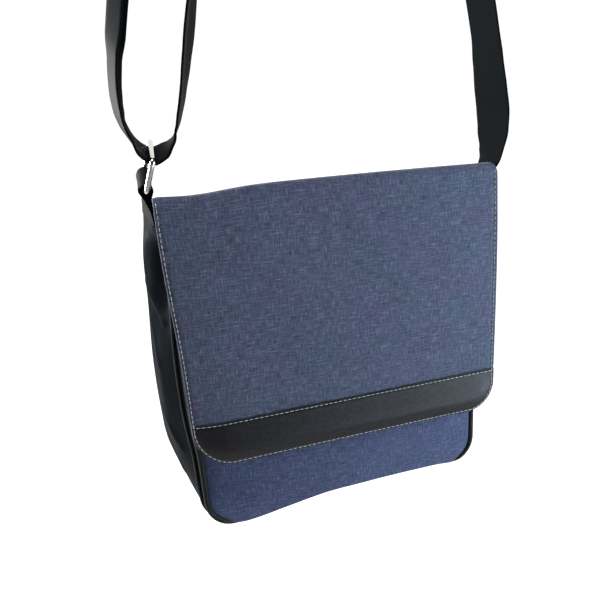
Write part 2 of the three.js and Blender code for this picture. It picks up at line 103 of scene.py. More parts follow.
# Body: drop, then the pocket's face, the front wall and the back wall
BODY_DROP = 296.0
COLUMN = {"pocket": 1, "front": 2, "back": 3}
BODY_TOP = {"pocket": 88.0, "front": 11.0, "back": 18.0}
GUSSET_TOP = {"front": 4.0, "back": 6.0}
BODY_CORNER = {"pocket": 27.0, "front": 28.0, "back": 46.0}
CORNER_LEAN = {"pocket": 0.0, "front": 0.0, "back": 19.0}
BODY_WIDTHS = np.array([
    (0, 142, 143, 151),
    (25, 142, 143.2, 153.2),
    (50, 142, 143.5, 157),
    (95, 142.5, 145.5, 159),
    (150, 143, 147.5, 162),
    (205, 141.8, 146, 161.5),
    (228, 139.5, 143.5, 160),
    (254, 139, 142.5, 153),
    (300, 138.5, 139, 136),
])
BODY_DEPTHS = np.array([
    (0, 8, 10, 54),
    (95, 15.5, 24.5, 66),
    (200, 20, 30, 79),
    (296, 20, 30, 88),
])
# Drop, how far the side is drawn in and how far it is folded out along its middle
TUCK_COLUMN = {"hollow": 1, "ridge": 2}
SIDE_TUCK = np.array([
    (0, 0, 0),
    (35, 0, 0),
    (44, 7, 0),
    (58, 11, 0),
    (78, 9, 0),
    (100, 4, 0),
    (122, 0, 1.5),
    (150, 0, 4),
    (225, 0, 4),
    (262, 0, 1.5),
    (300, 0, 0),
])
# Creases in the side: from drop and depth share, to drop and depth share, height and width
SIDE_CREASES = (
    (76, 0.95, 108, 0.35, 3, 4.5),
    (112, 0.9, 150, 0.55, 1.2, 4),
    (40, 0.85, 66, 0.98, 1.5, 4),
    (196, 0.8, 232, 0.3, 1.2, 5),
    (236, 0.95, 262, 0.6, 1.5, 5),
)
# Depth over which the creases are laid out, and the power of their fade towards the side's edges
SIDE_DEPTH = 45.0
CREASE_FADE = 0.5
# Share of the depth that the hollow takes up, and the power that brings its deepest line forward
HOLLOW = {"share": 0.8, "lean": 0.75}
RIDGE_ROUND = 0.15
# The lower corners sink below the middle
SAG_FROM = 190.0
SAG_LEFT = {"depth": 10.0, "from": 0.0, "to": 110.0}
SAG_RIGHT = {"depth": 3.0, "from": 90.0, "to": 130.0}
# Share of a corner from which its rows turn under the bag
UNDER_FROM = 0.65
# Radius of the bound edges at the sides and along the bottom, and how many radii of the cloth they cover
BINDING = {"pocket": (2.6, 0.4), "front": (1.7, 0.8)}
BINDING_COVER = 1.8
# Side strips: binding radii from the cloth's middle back to the front rim, and the rear rim's place
# behind the face of the next wall
STRIP_SET = {"pocket": (0.5, -0.3), "gusset": (0.4, 0.2)}
# The pocket's face fills out, turns back low at the left and rolls at its left edge
POCKET_FILL = {"depth": 3.0, "half": 140.0, "full": 230.0, "fade": (250.0, 300.0)}
POCKET_TURN = {"depth": 9.0, "from_x": 30.0, "reach": 170.0,
               "start": (190.0, 250.0), "fade": (262.0, 296.0)}
POCKET_ROLL = {"depth": 1.3, "reach": 14.0}
# Waves of the cloth: their number, their shortest and longest, and how much higher they are on the back
WAVE_COUNT = 9
WAVE_LENGTHS = {"pocket": (60, 170), "back": (80, 200), "flap": (70, 190)}
BACK_WAVE = {"height": 2.0, "half": 165.0}

# Strap from its sewn right end, over the top, down to the ring and up again: x, y, z, turn, tilt, cup.
# Turn and tilt swing the width in plan and in side view, cup is the depth of the lengthwise crease,
# below zero where the strap bends the other way.
PATH_COLUMN = {"turn": 3, "tilt": 4, "cup": 5}
STRAP_PATH = np.array([
    (150.1, 37.5, -34, -18, 6, 0),
    (150.2, 34, -18, -18, 6, 0),
    (152.8, 27.5, -5, -14, 7, 0),
    (155, 23.5, 8, -4, 5, 0),
    (155.9, 22, 26.5, 7, 0, 0),
    (155.4, 22, 43.4, 10, 0, 0),
    (153, 22, 60, 9, 0, 0),
    (149.5, 22, 84.5, 5, 0, 0),
    (146, 22, 108, 1, 0, 0),
    (127, 22, 190, 0, 0, 0),
    (98, 22, 275, 0, 0, 0),
    (62, 22, 351, 0, 0, 0),
    (39, 22, 390, 0, 0, 0),
    (20, 22, 410, 0, 0, 0),
    (0, 22, 417, 0, 0, 0),
    (-19, 22, 411, 0, 0, 0),
    (-33, 22, 394, 0, 0, 0),
    (-41, 22, 370, 0, 0, 0),
    (-58, 22, 305, 0, 0, 0),
    (-80, 22, 215, -8, 0, 0),
    (-103.7, 22, 114, -17, 0, -2),
    (-108.5, 22, 93.6, -15, 0, -2),
    (-113, 22, 73, -12, 0, -1),
    (-117.4, 22, 56, -10.5, 1, 0),
    (-121.6, 22, 44.5, -8, 2, 0),
    (-126, 22, 36.5, -5, 9, 0),
    (-132.5, 23, 30.6, -4, 17, 0),
    (-141.6, 24, 27.6, -4, 18.4, 0),
    (-149.8, 23, 33, -4, 15, 0),
    (-156, 22, 42.5, -3, 7, 2),
    (-160.2, 22, 52.5, -3, 5, 3.5),
    (-161.6, 22, 62, -5, 2, 5.5),
    (-161.7, 22, 75.3, -6, 0, 6.5),
    (-159.3, 22, 95.4, -6.5, 0, 7.5),
    (-155.4, 22, 115, -7.5, 0, 11.5),
    (-143, 22, 165, -8, 0, 12),
    (-121, 22, 225, -3, 0, 5),
    (-86, 22, 280, 0, 0, 1),
    (-63.5, 22, 303, 0, 0, 0),
    (-56.9, 22, 318.6, 0, 0, 0),
    (-49.7, 22, 346, 0, 0, 0),
])
STRAP_WIDTH = 38.0
LAYER_STEP = 2.4
CREASE_ROUND = 0.12

# Tab from its inner end on the side, over the ring's lower bar and down again
TAB_PATH = np.array([
    (-148.7, 35.5, -21, 9, 13, 0),
    (-148.9, 33.5, -12, 7, 15, 0),
    (-149.7, 32, -2, 2, 17, 0),
    (-145.5, 31, 7.6, -4, 18.4, 0),
    (-146.3, 30.1, 11.4, -4, 18.4, 0),
    (-148.9, 29.7, 12.6, -4, 18.4, 0),
    (-152.4, 30.1, 11.6, -4, 18.4, 0),
    (-154.6, 31, 7.5, -3, 18.4, 0),
    (-152, 32, -2, 2, 17, 0),
    (-150.5, 33.5, -12, 7, 15, 0),
    (-150.2, 35.5, -21, 9, 13, 0),
])
TAB_WIDTH = 37.0
TAB_CLOTH = 1.3
TAB_BAR = np.array((-148.9, 31, 8.5))
RING = {"wire": 2.1, "half_width": 22.4, "half_height": 12.6, "corner": 3.0}
RING_SET = {"tilt": 18.4, "lean": 16.8, "turn": -4.0}
KEEPER = {"x": -54.6, "z": 318.0, "lean": 14.7, "bar": 3.0, "height": 8.0, "play": 0.5,
          "corner": 1.6, "edge": 0.9}

# Mesh fineness: angles of the points round a rim and its fullness, then rows, columns and steps.
# The flap's columns are closer together in the strips along its edges.
RIM_ANGLES = (45, 90, 135)
RIM_FULLNESS = 0.7
SIDE_ROWS = 90
CORNER_ROWS = 16
PANEL_COLUMNS = 72
EDGE_STRIP = 0.02
FLAP_COLUMNS = {"edge": 10, "middle": 121}
FLAP_SHARES = np.concatenate([
    np.linspace(0, EDGE_STRIP, FLAP_COLUMNS["edge"], endpoint=False),
    np.linspace(EDGE_STRIP, 1 - EDGE_STRIP, FLAP_COLUMNS["middle"], endpoint=False),
    np.linspace(1 - EDGE_STRIP, 1, FLAP_COLUMNS["edge"] + 1),
])
FLAP_ROWS = {"rear": 12, "fold": 13, "roof": 16, "front": 80, "corner": 25, "band": 20}
STITCH_STEPS = {"side": 60, "corner": 20, "band": 120}
STITCH_BALL = {"Segments": 8, "Rings": 5}
GUSSET_COLUMNS = 48
POCKET_SIDE_COLUMNS = 10
RIBBON_STEPS = 8
RIBBON_COLUMNS = 20
BINDING_SIDES = 14
WIRE_SIDES = 20
CORNER_STEPS = {"ring": 8, "keeper": 5, "bar": 4}


def linear(code):
    """Linear colour of an sRGB hex code."""
    values = [int(code[k:k + 2], 16) / 255 for k in (1, 3, 5)]
    return (*(v / 12.92 if v <= 0.04045 else ((v + 0.055) / 1.055) ** 2.4 for v in values), 1.0)


size_property = functools.partial(FloatProperty, precision=4, unit="LENGTH")
colour_property = functools.partial(FloatVectorProperty, min=0, max=1, size=4, subtype="COLOR")
power_property = functools.partial(FloatProperty, min=0, max=200, unit="POWER")


class SatchelSizes(bpy.types.PropertyGroup):
    """Sizes of the materials, the waves and the stitching."""

    cloth: size_property(
        name="Blue Cloth", description="Thickness of the blue cloth with its lining",
        default=0.0018, min=0.0005, max=0.004)
    side_cloth: size_property(
        name="Side Cloth", description="Thickness of the coated cloth of the sides",
        default=0.0014, min=0.0005, max=0.004)
    band_cloth: size_property(
        name="Band", description="Thickness of the leatherette band",
        default=0.0012, min=0.0005, max=0.004)
    webbing: size_property(
        name="Webbing", description="Thickness of the strap",
        default=0.0018, min=0.0005, max=0.004)
    hem: size_property(
        name="Hem", description="Rise of the turned edge over the flap's face",
        default=0.0005, min=0, max=0.002)
    wave: size_property(
        name="Wave", description="Height of the broad waves in the cloth",
        default=0.0007, min=0, max=0.003)
    roll: size_property(
        name="Edge Roll", description="Radius by which the flap's edges roll back",
        default=0.0026, min=0.0005, max=0.01)
    stitch_inset: size_property(
        name="Stitch Inset", description="Distance of the stitching from the lower edge",
        default=0.0017, min=0.001, max=0.01)
    left_inset: size_property(
        name="Left Inset", description="Distance of the stitching from the flap's left edge",
        default=0.0013, min=0.001, max=0.01)
    right_inset: size_property(
        name="Right Inset", description="Distance of the stitching from the flap's right edge",
        default=0.0025, min=0.001, max=0.01)
    stitch_pitch: size_property(
        name="Stitch Pitch", description="Distance from one stitch to the next",
        default=0.0045, min=0.002, max=0.02)
    stitch_length: size_property(
        name="Stitch Length", description="Length of thread that shows in one stitch",
        default=0.0038, min=0.001, max=0.02)
    thread: size_property(
        name="Thread", description="Diameter of the thread",
        default=0.00075, min=0.0003, max=0.002)
    seed: IntProperty(
        name="Seed", description="Seed of the waves in the cloth", default=7, min=0, max=1000)


class SatchelColours(bpy.types.PropertyGroup):
    """Colours of the materials."""

    pale_violet: colour_property(
        name="Flap Violet", description="Violet hue in the flap's blue cloth",
        default=linear("#51506c"))
    pale_teal: colour_property(
        name="Flap Teal", description="Teal hue in the flap's blue cloth",
        default=linear("#4b536a"))
    deep_violet: colour_property(
        name="Wall Violet", description="Violet hue in the blue cloth of the walls",
        default=linear("#4d4f74"))
    deep_teal: colour_property(
        name="Wall Teal", description="Teal hue in the blue cloth of the walls",
        default=linear("#495273"))
    slub: colour_property(
        name="Slubs", description="Thick pale places in the yarn of the blue cloth",
        default=linear("#848da2"))
    side_cloth: colour_property(
        name="Side Cloth", description="Coated cloth of the sides",
        default=linear("#080c10"))
    band: colour_property(
        name="Band", description="Leatherette of the band",
        default=linear("#0b0c10"))
    tape: colour_property(
        name="Edge Tape", description="Tape of the bound edges",
        default=linear("#090c0e"))
    webbing: colour_property(
        name="Webbing", description="Webbing of the strap and the tab",
        default=linear("#0a0d0f"))
    nickel: colour_property(
        name="Nickel", description="Plating of the ring and the keeper",
        default=linear("#d9d6cf"))
    # Darker bands of the thread: painted shade in the grooves between its plies
    thread_dark: colour_property(
        name="Thread Shade", description="Darker side of the thread's plies",
        default=linear("#a6a8a6"))
    thread_pale: colour_property(
        name="Thread", description="Paler side of the thread's plies",
        default=linear("#b9bbbb"))
    floor: colour_property(
        name="Floor", description="Paint of the floor",
        default=linear("#c4c4c4"))


class SatchelLight(bpy.types.PropertyGroup):
    """Strength of the studio lights."""

    sky: FloatProperty(
        name="Backdrop", description="Brightness of the white surround behind the bag",
        default=1.05, min=0, max=4)
    front: FloatProperty(
        name="Front", description="Brightness of the surround in front of the bag",
        default=0.07, min=0, max=4)
    floor: FloatProperty(
        name="Floor", description="Own brightness of the floor behind the bag",
        default=1.05, min=0, max=4)
    key: power_property(
        name="Key", description="Power of the tall light at the right front",
        default=3.8)
    low: power_property(
        name="Low", description="Power of the low wide light at the right front",
        default=1.6)
    side: power_property(
        name="Side", description="Power of the light at the left, behind the bag",
        default=6.8)
    top: power_property(
        name="Top", description="Power of the light above the left front",
        default=3.6)


def smoothstep(value, low, high):
    """Eased share, 0 below low and 1 above high."""
    share = np.clip((np.asarray(value, float) - low) / (high - low), 0, 1)
    return share * share * (3 - 2 * share)


def lerp(low, high, share):
    """Value between low and high."""
    return low + (high - low) * share


def unit(vectors):
    """Vectors of length one."""
    return vectors / np.maximum(np.linalg.norm(vectors, axis=-1, keepdims=True), 1e-12)


def table_value(table, column, at):
    """Value of a table's column, eased so that no kink shows."""
    place = table[:, 0].astype(float)
    value = table[:, column].astype(float)
    slope = np.gradient(value, place)
    at = np.clip(np.asarray(at, float), place[0], place[-1])
    k = np.clip(np.searchsorted(place, at, side="right") - 1, 0, len(place) - 2)
    span = place[k + 1] - place[k]
    t = (at - place[k]) / span
    start = (1 + 2 * t) * (1 - t) ** 2 * value[k] + t * (1 - t) ** 2 * span * slope[k]
    end = t * t * (3 - 2 * t) * value[k + 1] + t * t * (t - 1) * span * slope[k + 1]
    return start + end


def waves(u, v, shortest, longest, seed):
    """Soft random waves of height about one over two coordinates."""
    random = np.random.RandomState(seed)
    total = np.zeros(np.broadcast(u, v).shape)
    for _ in range(WAVE_COUNT):
        length = random.uniform(shortest, longest)
        heading = random.uniform(0, math.pi)
        phase = random.uniform(0, 2 * math.pi)
        along = u * math.cos(heading) + v * math.sin(heading)
        total += np.sin(2 * math.pi * along / length + phase)
    return total / math.sqrt(WAVE_COUNT)


def lengths_along(path):
    """Distance of each point of a path from its start."""
    return np.concatenate([[0], np.cumsum(np.linalg.norm(np.diff(path, axis=0), axis=1))])


def cloth_map(first, second):
    """Cloth coordinates from values along its two directions."""
    return np.stack(np.broadcast_arrays(first, second), axis=-1)


# Meshes

def to_frame(points):
    """Points of the bag frame, in millimetres, as points of the part's frame in metres."""
    return (np.asarray(points, float) - HANG_POINT) * MM


def new_piece(name, points, faces, material, uv):
    """Mesh object from points in the bag frame, with cloth coordinates in metres."""
    mesh = bpy.data.meshes.new(name)
    mesh.from_pydata(to_frame(points).tolist(), [], faces)
    layer = mesh.uv_layers.new(name="cloth")
    corners = np.empty(len(mesh.loops), int)
    mesh.loops.foreach_get("vertex_index", corners)
    layer.data.foreach_set("uv", (uv * MM)[corners].ravel())
    mesh.shade_smooth()
    mesh.materials.append(material)
    mesh.update()
    piece = bpy.data.objects.new(name, mesh)
    bpy.context.scene.collection.objects.link(piece)
    return piece


def grid_normals(grid):
    """Directions out of a grid of points."""
    return unit(np.cross(np.gradient(grid, axis=0), np.gradient(grid, axis=1)))


def thick_sheet(name, grid, uv, thickness, material, raised=0.0):
    """Closed cloth with a rounded rim round a grid on its middle surface; raised lifts the outer face."""
    rows, columns = grid.shape[:2]
    normal = grid_normals(grid)
    half = np.broadcast_to(thickness / 2, (rows, columns))[..., None]
    lift = np.broadcast_to(raised, (rows, columns))[..., None]
    outer = grid + normal * (half + lift)
    inner = grid - normal * half
    rim = [(i, 0) for i in range(rows)]
    rim += [(rows - 1, j) for j in range(1, columns)]
    rim += [(i, columns - 1) for i in range(rows - 2, -1, -1)]
    rim += [(0, j) for j in range(columns - 2, 0, -1)]
    at = np.array(rim)
    edge = grid[at[:, 0], at[:, 1]]
    tangent = np.roll(edge, -1, axis=0) - np.roll(edge, 1, axis=0)
    away = unit(np.cross(tangent, normal[at[:, 0], at[:, 1]]))
    top = outer[at[:, 0], at[:, 1]]
    low = inner[at[:, 0], at[:, 1]]
    middle = (top + low) / 2
    reach = np.linalg.norm(top - low, axis=1, keepdims=True) / 2
    rings = []
    for angle in np.radians(RIM_ANGLES):
        bulge = away * reach * RIM_FULLNESS * math.sin(angle)
        rings.append(middle + (top - middle) * math.cos(angle) + bulge)
    points = np.concatenate([outer.reshape(-1, 3), *rings, inner.reshape(-1, 3)])
    flat = uv.reshape(-1, 2)
    coordinates = np.concatenate([flat, *[uv[at[:, 0], at[:, 1]]] * len(rings), flat])
    count = rows * columns
    loop = len(rim)
    index = np.arange(count).reshape(rows, columns)
    a, b = index[:-1, :-1].ravel(), index[1:, :-1].ravel()
    c, d = index[1:, 1:].ravel(), index[:-1, 1:].ravel()
    below = count + len(rings) * loop
    faces = np.stack([a, b, c, d], axis=1).tolist()
    faces += (np.stack([a, d, c, b], axis=1) + below).tolist()
    first = index[at[:, 0], at[:, 1]]
    chain = [first, *(count + loop * k + np.arange(loop) for k in range(len(rings))), first + below]
    for upper, lower in zip(chain, chain[1:]):
        faces += np.stack([upper, lower, np.roll(lower, -1), np.roll(upper, -1)], axis=1).tolist()
    return new_piece(name, points, faces, material, coordinates)


def sweep(name, path, reference, profile, scale, closed, material):
    """Solid drawn along a path; the profile's first axis keeps to the reference direction."""
    path = np.asarray(path, float)
    if closed:
        tangent = unit(np.roll(path, -1, axis=0) - np.roll(path, 1, axis=0))
    else:
        tangent = unit(np.gradient(path, axis=0))
    reference = np.broadcast_to(np.asarray(reference, float), path.shape)
    first = unit(reference - tangent * np.sum(reference * tangent, axis=1, keepdims=True))
    second = np.cross(tangent, first)
    profile = np.asarray(profile, float)
    size = np.broadcast_to(scale, len(path))[:, None, None]
    points = path[:, None] + size * (first[:, None] * profile[:, :1] + second[:, None] * profile[:, 1:])
    count, sides = points.shape[:2]
    index = np.arange(count * sides).reshape(count, sides)
    after = np.roll(index, -1, axis=0)
    spans = slice(None) if closed else slice(0, count - 1)
    quads = [index, np.roll(index, -1, axis=1), np.roll(after, -1, axis=1), after]
    faces = np.stack([quad[spans].ravel() for quad in quads], axis=1).tolist()
    if not closed:
        faces += [index[0][::-1].tolist(), index[-1].tolist()]
    around = np.linspace(0, 2 * math.pi, sides, endpoint=False) * np.abs(profile).max()
    uv = cloth_map(lengths_along(path)[:, None], around[None])
    return new_piece(name, points.reshape(-1, 3), faces, material, uv.reshape(-1, 2))


def circle(radius, sides):
    """Round profile."""
    angle = np.linspace(0, 2 * math.pi, sides, endpoint=False)
    return np.stack([radius * np.cos(angle), radius * np.sin(angle)], axis=1)


def rounded_rectangle(half_first, half_second, corner, steps):
    """Rectangular profile with round corners."""
    points = []
    for quarter, (a, b) in enumerate([(1, 1), (-1, 1), (-1, -1), (1, -1)]):
        for angle in np.linspace(0, math.pi / 2, steps + 1) + quarter * math.pi / 2:
            first = a * (half_first - corner) + corner * math.cos(angle)
            second = b * (half_second - corner) + corner * math.sin(angle)
            points.append((first, second))
    return np.array(points)


def hand_in(piece, slot, *nodes):
    """Rides a piece on the part, in place of its solids; its slot, the record's finish, is not used."""
    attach(piece, "root")
    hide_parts(*nodes)


# Body of the bag

def sag(x, z):
    """Height after the lower corners have sunk below the middle."""
    low = smoothstep(-z, SAG_FROM, BODY_DROP)
    left = SAG_LEFT["depth"] * smoothstep(-x, SAG_LEFT["from"], SAG_LEFT["to"])
    right = SAG_RIGHT["depth"] * smoothstep(x, SAG_RIGHT["from"], SAG_RIGHT["to"])
    return z - low * (left + right)


def corner_share():
    """How far each row has come round the corner."""
    return np.concatenate([np.zeros(SIDE_ROWS + 1), np.linspace(0, 1, CORNER_ROWS + 1)[1:]])


def under_share():
    """How far each row has turned under the bag."""
    return smoothstep(corner_share(), UNDER_FROM, 1)


def binding_radius(section):
    """Radius of a bound edge at each row."""
    side, bottom = BINDING[section]
    return lerp(side, bottom, under_share())


def section_outline(section, inset, top_drop):
    """Half width and height of the rows of a body section, drawn in by an inset."""
    lean = math.radians(CORNER_LEAN[section])
    radius = BODY_CORNER[section]
    corner_drop = BODY_DROP - radius * (1 - math.sin(lean))
    inset = np.broadcast_to(inset, SIDE_ROWS + CORNER_ROWS + 1)
    drop = np.linspace(top_drop, corner_drop, SIDE_ROWS + 1)
    side_half = table_value(BODY_WIDTHS, COLUMN[section], drop) - inset[:SIDE_ROWS + 1]
    angle = lerp(lean, math.pi / 2, np.linspace(0, 1, CORNER_ROWS + 1)[1:])
    reach = radius - inset[SIDE_ROWS + 1:]
    centre = table_value(BODY_WIDTHS, COLUMN[section], corner_drop) - radius * math.cos(lean)
    half = np.concatenate([side_half, centre + reach * np.cos(angle)])
    z = np.concatenate([-drop, radius - BODY_DROP - reach * np.sin(angle)])
    return half, z


def section_points(section, half, z, share, offset):
    """Points of a body section at shares of its half width, moved back by an offset."""
    x = half * share
    y = table_value(BODY_DEPTHS, COLUMN[section], -z) + offset
    x, y, z = np.broadcast_arrays(x, y, z)
    return np.stack([x, y, sag(x, z)], axis=-1)


def panel_grid(section, thickness):
    """Grid of a wall of the bag and its cloth coordinates."""
    inset = binding_radius(section) * BINDING_COVER if section in BINDING else 0.0
    half, z = section_outline(section, inset, BODY_TOP[section])
    share = np.linspace(-1, 1, PANEL_COLUMNS + 1)
    grid = section_points(section, half[:, None], z[:, None], share[None], thickness / 2)
    return grid, grid[..., [0, 2]]


def section_rim(section, inset, offset, top_drop):
    """Edge of a body section: down the left side, along the bottom and up the right side."""
    half, z = section_outline(section, inset, top_drop)
    left = section_points(section, half, z, -1, offset)
    share = np.linspace(-1, 1, PANEL_COLUMNS + 1)[1:-1]
    bottom = section_points(section, half[-1], z[-1], share, offset)
    right = section_points(section, half, z, 1, offset)[::-1]
    return np.concatenate([left, bottom, right])


def strip_grid(front, back, columns, draw=None):
    """Strip between two rims and its cloth coordinates; draw gives how far its sides are drawn in."""
    share = np.linspace(0, 1, columns + 1)
    grid = lerp(front[:, None], back[:, None], share[None, :, None])
    if draw is not None:
        grid[..., 0] -= np.sign(grid[..., 0]) * draw(-grid[..., 2], share[None])
    depth = np.linalg.norm(grid - grid[:, :1], axis=-1)
    return grid, cloth_map(depth, lengths_along(grid[:, columns // 2])[:, None])


def side_draw(drop, share):
    """How far the side is drawn in at a drop and a share of its depth."""
    hollow = np.minimum(share / HOLLOW["share"], 1) ** HOLLOW["lean"]
    tuck = table_value(SIDE_TUCK, TUCK_COLUMN["hollow"], drop) * np.sin(math.pi * hollow) ** 2
    fold = 1 - np.hypot(2 * share - 1, RIDGE_ROUND)
    ridge = table_value(SIDE_TUCK, TUCK_COLUMN["ridge"], drop) * fold
    fade = np.sin(math.pi * share) ** CREASE_FADE
    draw = tuck - ridge
    for from_drop, from_share, to_drop, to_share, height, width in SIDE_CREASES:
        start = np.array((from_drop, from_share * SIDE_DEPTH))
        along = np.array((to_drop, to_share * SIDE_DEPTH)) - start
        away = drop - start[0], share * SIDE_DEPTH - start[1]
        part = np.clip((away[0] * along[0] + away[1] * along[1]) / np.dot(along, along), 0, 1)
        distance = np.hypot(away[0] - part * along[0], away[1] - part * along[1])
        draw = draw - height * np.exp(-((distance / width) ** 2)) * fade
    return draw


def make_binding(name, section, material, thickness):
    """Bound edge, round in section, along a rim."""
    radius = binding_radius(section)
    path = section_rim(section, radius, thickness / 2, BODY_TOP[section])
    radii = np.concatenate([radius, np.full(PANEL_COLUMNS - 1, radius[-1]), radius[::-1]])
    return sweep(name, path, (0, 1, 0), circle(1, BINDING_SIDES), radii, False, material)


def pocket_grid(sizes):
    """Grid of the pocket's face with its fullness, its turned and rolled left side and its waves."""
    grid, uv = panel_grid("pocket", sizes.cloth / MM)
    x, drop = grid[..., 0], -grid[..., 2]
    full = smoothstep(drop, BODY_TOP["pocket"], POCKET_FILL["full"])
    full = full * (1 - smoothstep(drop, *POCKET_FILL["fade"])) * (1 - (x / POCKET_FILL["half"]) ** 2)
    turn = np.clip((POCKET_TURN["from_x"] - x) / POCKET_TURN["reach"], 0, 1) ** 3
    turn = turn * smoothstep(drop, *POCKET_TURN["start"]) * (1 - smoothstep(drop, *POCKET_TURN["fade"]))
    roll = (1 - smoothstep(x - grid[:, :1, 0], 0, POCKET_ROLL["reach"])) ** 2
    wave = waves(x, -drop, *WAVE_LENGTHS["pocket"], sizes.seed)
    grid[..., 1] += POCKET_TURN["depth"] * turn - POCKET_FILL["depth"] * full
    grid[..., 1] += POCKET_ROLL["depth"] * roll + sizes.wave / MM * wave
    return grid, uv


class SATCHEL_OT_pocket(bpy.types.Operator):
    """Build the front pocket: face, side strip and bound edge"""

    bl_idname = "satchel.pocket"
    bl_label = "Pocket"
    bl_options = {"REGISTER", "UNDO"}

    def execute(self, context):
        sizes = context.scene.satchel_sizes
        cloth = sizes.cloth / MM
        top = BODY_TOP["pocket"]
        grid, uv = pocket_grid(sizes)
        face = thick_sheet("pocket_front_cloth", grid, uv, cloth, blue_cloth("deep"))
        hand_in(face, "blue_cloth", "pocket_front")
        radius = BINDING["pocket"][0]
        front_set, back_set = STRIP_SET["pocket"]
        front = section_rim("pocket", radius * (1 - under_share()), cloth / 2 + front_set * radius, top)
        back = section_rim("front", 2 * BINDING["front"][0], back_set, top)
        grid, uv = strip_grid(front, back, POCKET_SIDE_COLUMNS)
        wall = thick_sheet("pocket_side_cloth", grid, uv, sizes.side_cloth / MM, coated_cloth())
        hand_in(wall, "black_coated_cloth", "pocket_side")
        edge = make_binding("pocket_edge_binding", "pocket", edge_tape(), cloth)
        hand_in(edge, "black_leatherette", "pocket_binding")
        return {"FINISHED"}


class SATCHEL_OT_body(bpy.types.Operator):
    """Build the front wall, the back wall and the gusset between them"""

    bl_idname = "satchel.body"
    bl_label = "Body"
    bl_options = {"REGISTER", "UNDO"}

    def execute(self, context):
        sizes = context.scene.satchel_sizes
        cloth = sizes.cloth / MM
        walls = {}
        for section in ("front", "back"):
            grid, uv = panel_grid(section, cloth)
            if section == "back":
                wave = waves(grid[..., 0], grid[..., 2], *WAVE_LENGTHS["back"], sizes.seed + 1)
                calm = 1 - (grid[..., 0] / BACK_WAVE["half"]) ** 4
                grid[..., 1] += BACK_WAVE["height"] * sizes.wave / MM * wave * calm
            walls[section] = thick_sheet(f"{section}_panel_cloth", grid, uv, cloth, blue_cloth("deep"))
            hand_in(walls[section], "blue_cloth", f"{section}_panel")
        edge = make_binding("front_edge_binding", "front", edge_tape(), cloth)
        hand_in(edge, "black_leatherette", "front_binding")
        radius = BINDING["front"][0]
        front_set, back_set = STRIP_SET["gusset"]
        inset = radius * (1 - under_share())
        front = section_rim("front", inset, cloth / 2 + front_set * radius, GUSSET_TOP["front"])
        back = section_rim("back", 0, back_set, GUSSET_TOP["back"])
        grid, uv = strip_grid(front, back, GUSSET_COLUMNS, side_draw)
        side = thick_sheet("gusset_cloth", grid, uv, sizes.side_cloth / MM, coated_cloth())
        hand_in(side, "black_coated_cloth", "gusset")
        return {"FINISHED"}


# Flap

def flap_edge(side, drop):
    """Left or right edge of the flap's front at a drop, with its round lower corner."""
    radius = FLAP_CORNER[side]
    into = np.maximum(drop - (FLAP_DROP - radius), 0)
    draw = radius - np.sqrt(np.maximum(radius ** 2 - into ** 2, 0))
    return table_value(FLAP_EDGES, EDGE_COLUMN[side], drop) - EDGE_SIGN[side] * draw


def front_drops(from_drop, straight_rows):
    """Drops of the rows on the flap's front; the corner rows are spaced by angle."""
    radius = max(FLAP_CORNER.values())
    straight = np.linspace(from_drop, FLAP_DROP - radius, straight_rows, endpoint=False)
    angle = np.linspace(0, math.pi / 2, FLAP_ROWS["corner"])
    return np.concatenate([straight, FLAP_DROP - radius + radius * np.sin(angle)])


def flap_points(y, z, left, right):
    """Rows across the flap; the front's top edge is crowned and dips near its left end."""
    y, z, left, right = (np.asarray(value, float)[:, None] for value in (y, z, left, right))
    x = lerp(left, right, FLAP_SHARES[None])
    share = smoothstep(z, -FLAP_DIP["from_drop"], 0) * (1 - smoothstep(y, 0, FLAP_DIP["to_depth"]))
    crown = FLAP_CROWN * (1 - (x / left) ** 2)
    dip = FLAP_DIP["depth"] * np.exp(-(((x - FLAP_DIP["x"]) / FLAP_DIP["reach"]) ** 2))
    x, y, z = np.broadcast_arrays(x, y, z + (crown - dip) * share)
    return np.stack([x, y, z], axis=-1)


def edge_distance(grid):
    """Distance of points on the flap's front from its outline."""
    x, drop = grid[..., 0], -grid[..., 2]
    edges = {side: table_value(FLAP_EDGES, EDGE_COLUMN[side], drop) for side in EDGE_COLUMN}
    distance = np.minimum(np.minimum(x - edges["left"], edges["right"] - x), FLAP_DROP - drop)
    for side, edge in edges.items():
        radius = FLAP_CORNER[side]
        level = FLAP_DROP - radius
        centre = edge - EDGE_SIGN[side] * radius
        inside = (EDGE_SIGN[side] * (x - centre) > 0) & (drop > level)
        distance = np.where(inside, radius - np.hypot(x - centre, drop - level), distance)
    return distance


def turned_back(x, drop, distance, roll):
    """How far the flap's edges roll back and its left side bends back."""
    right = smoothstep(x, *EDGE_ROLL["right"])
    into = np.maximum(roll * lerp(1, EDGE_ROLL["right_share"], right) - distance, 0)
    rolled = EDGE_ROLL["slope"] * (np.hypot(into, EDGE_ROLL["round"]) - EDGE_ROLL["round"])
    from_left = x - table_value(FLAP_EDGES, EDGE_COLUMN["left"], drop)
    share = np.clip(1 - from_left / LEFT_BEND["reach"], 0, 1)
    depth = lerp(LEFT_BEND["depth"], LEFT_BEND["low_depth"], smoothstep(drop, *LEFT_BEND["low"]))
    return rolled + depth * share ** 2 * smoothstep(drop, *LEFT_BEND["start"])


def rear_depth(drop, cloth):
    """Depth of the middle of the flap's rear part, behind the cloth of the back wall."""
    return table_value(BODY_DEPTHS, COLUMN["back"], drop) + cloth + FLAP_REAR_GAP + cloth / 2


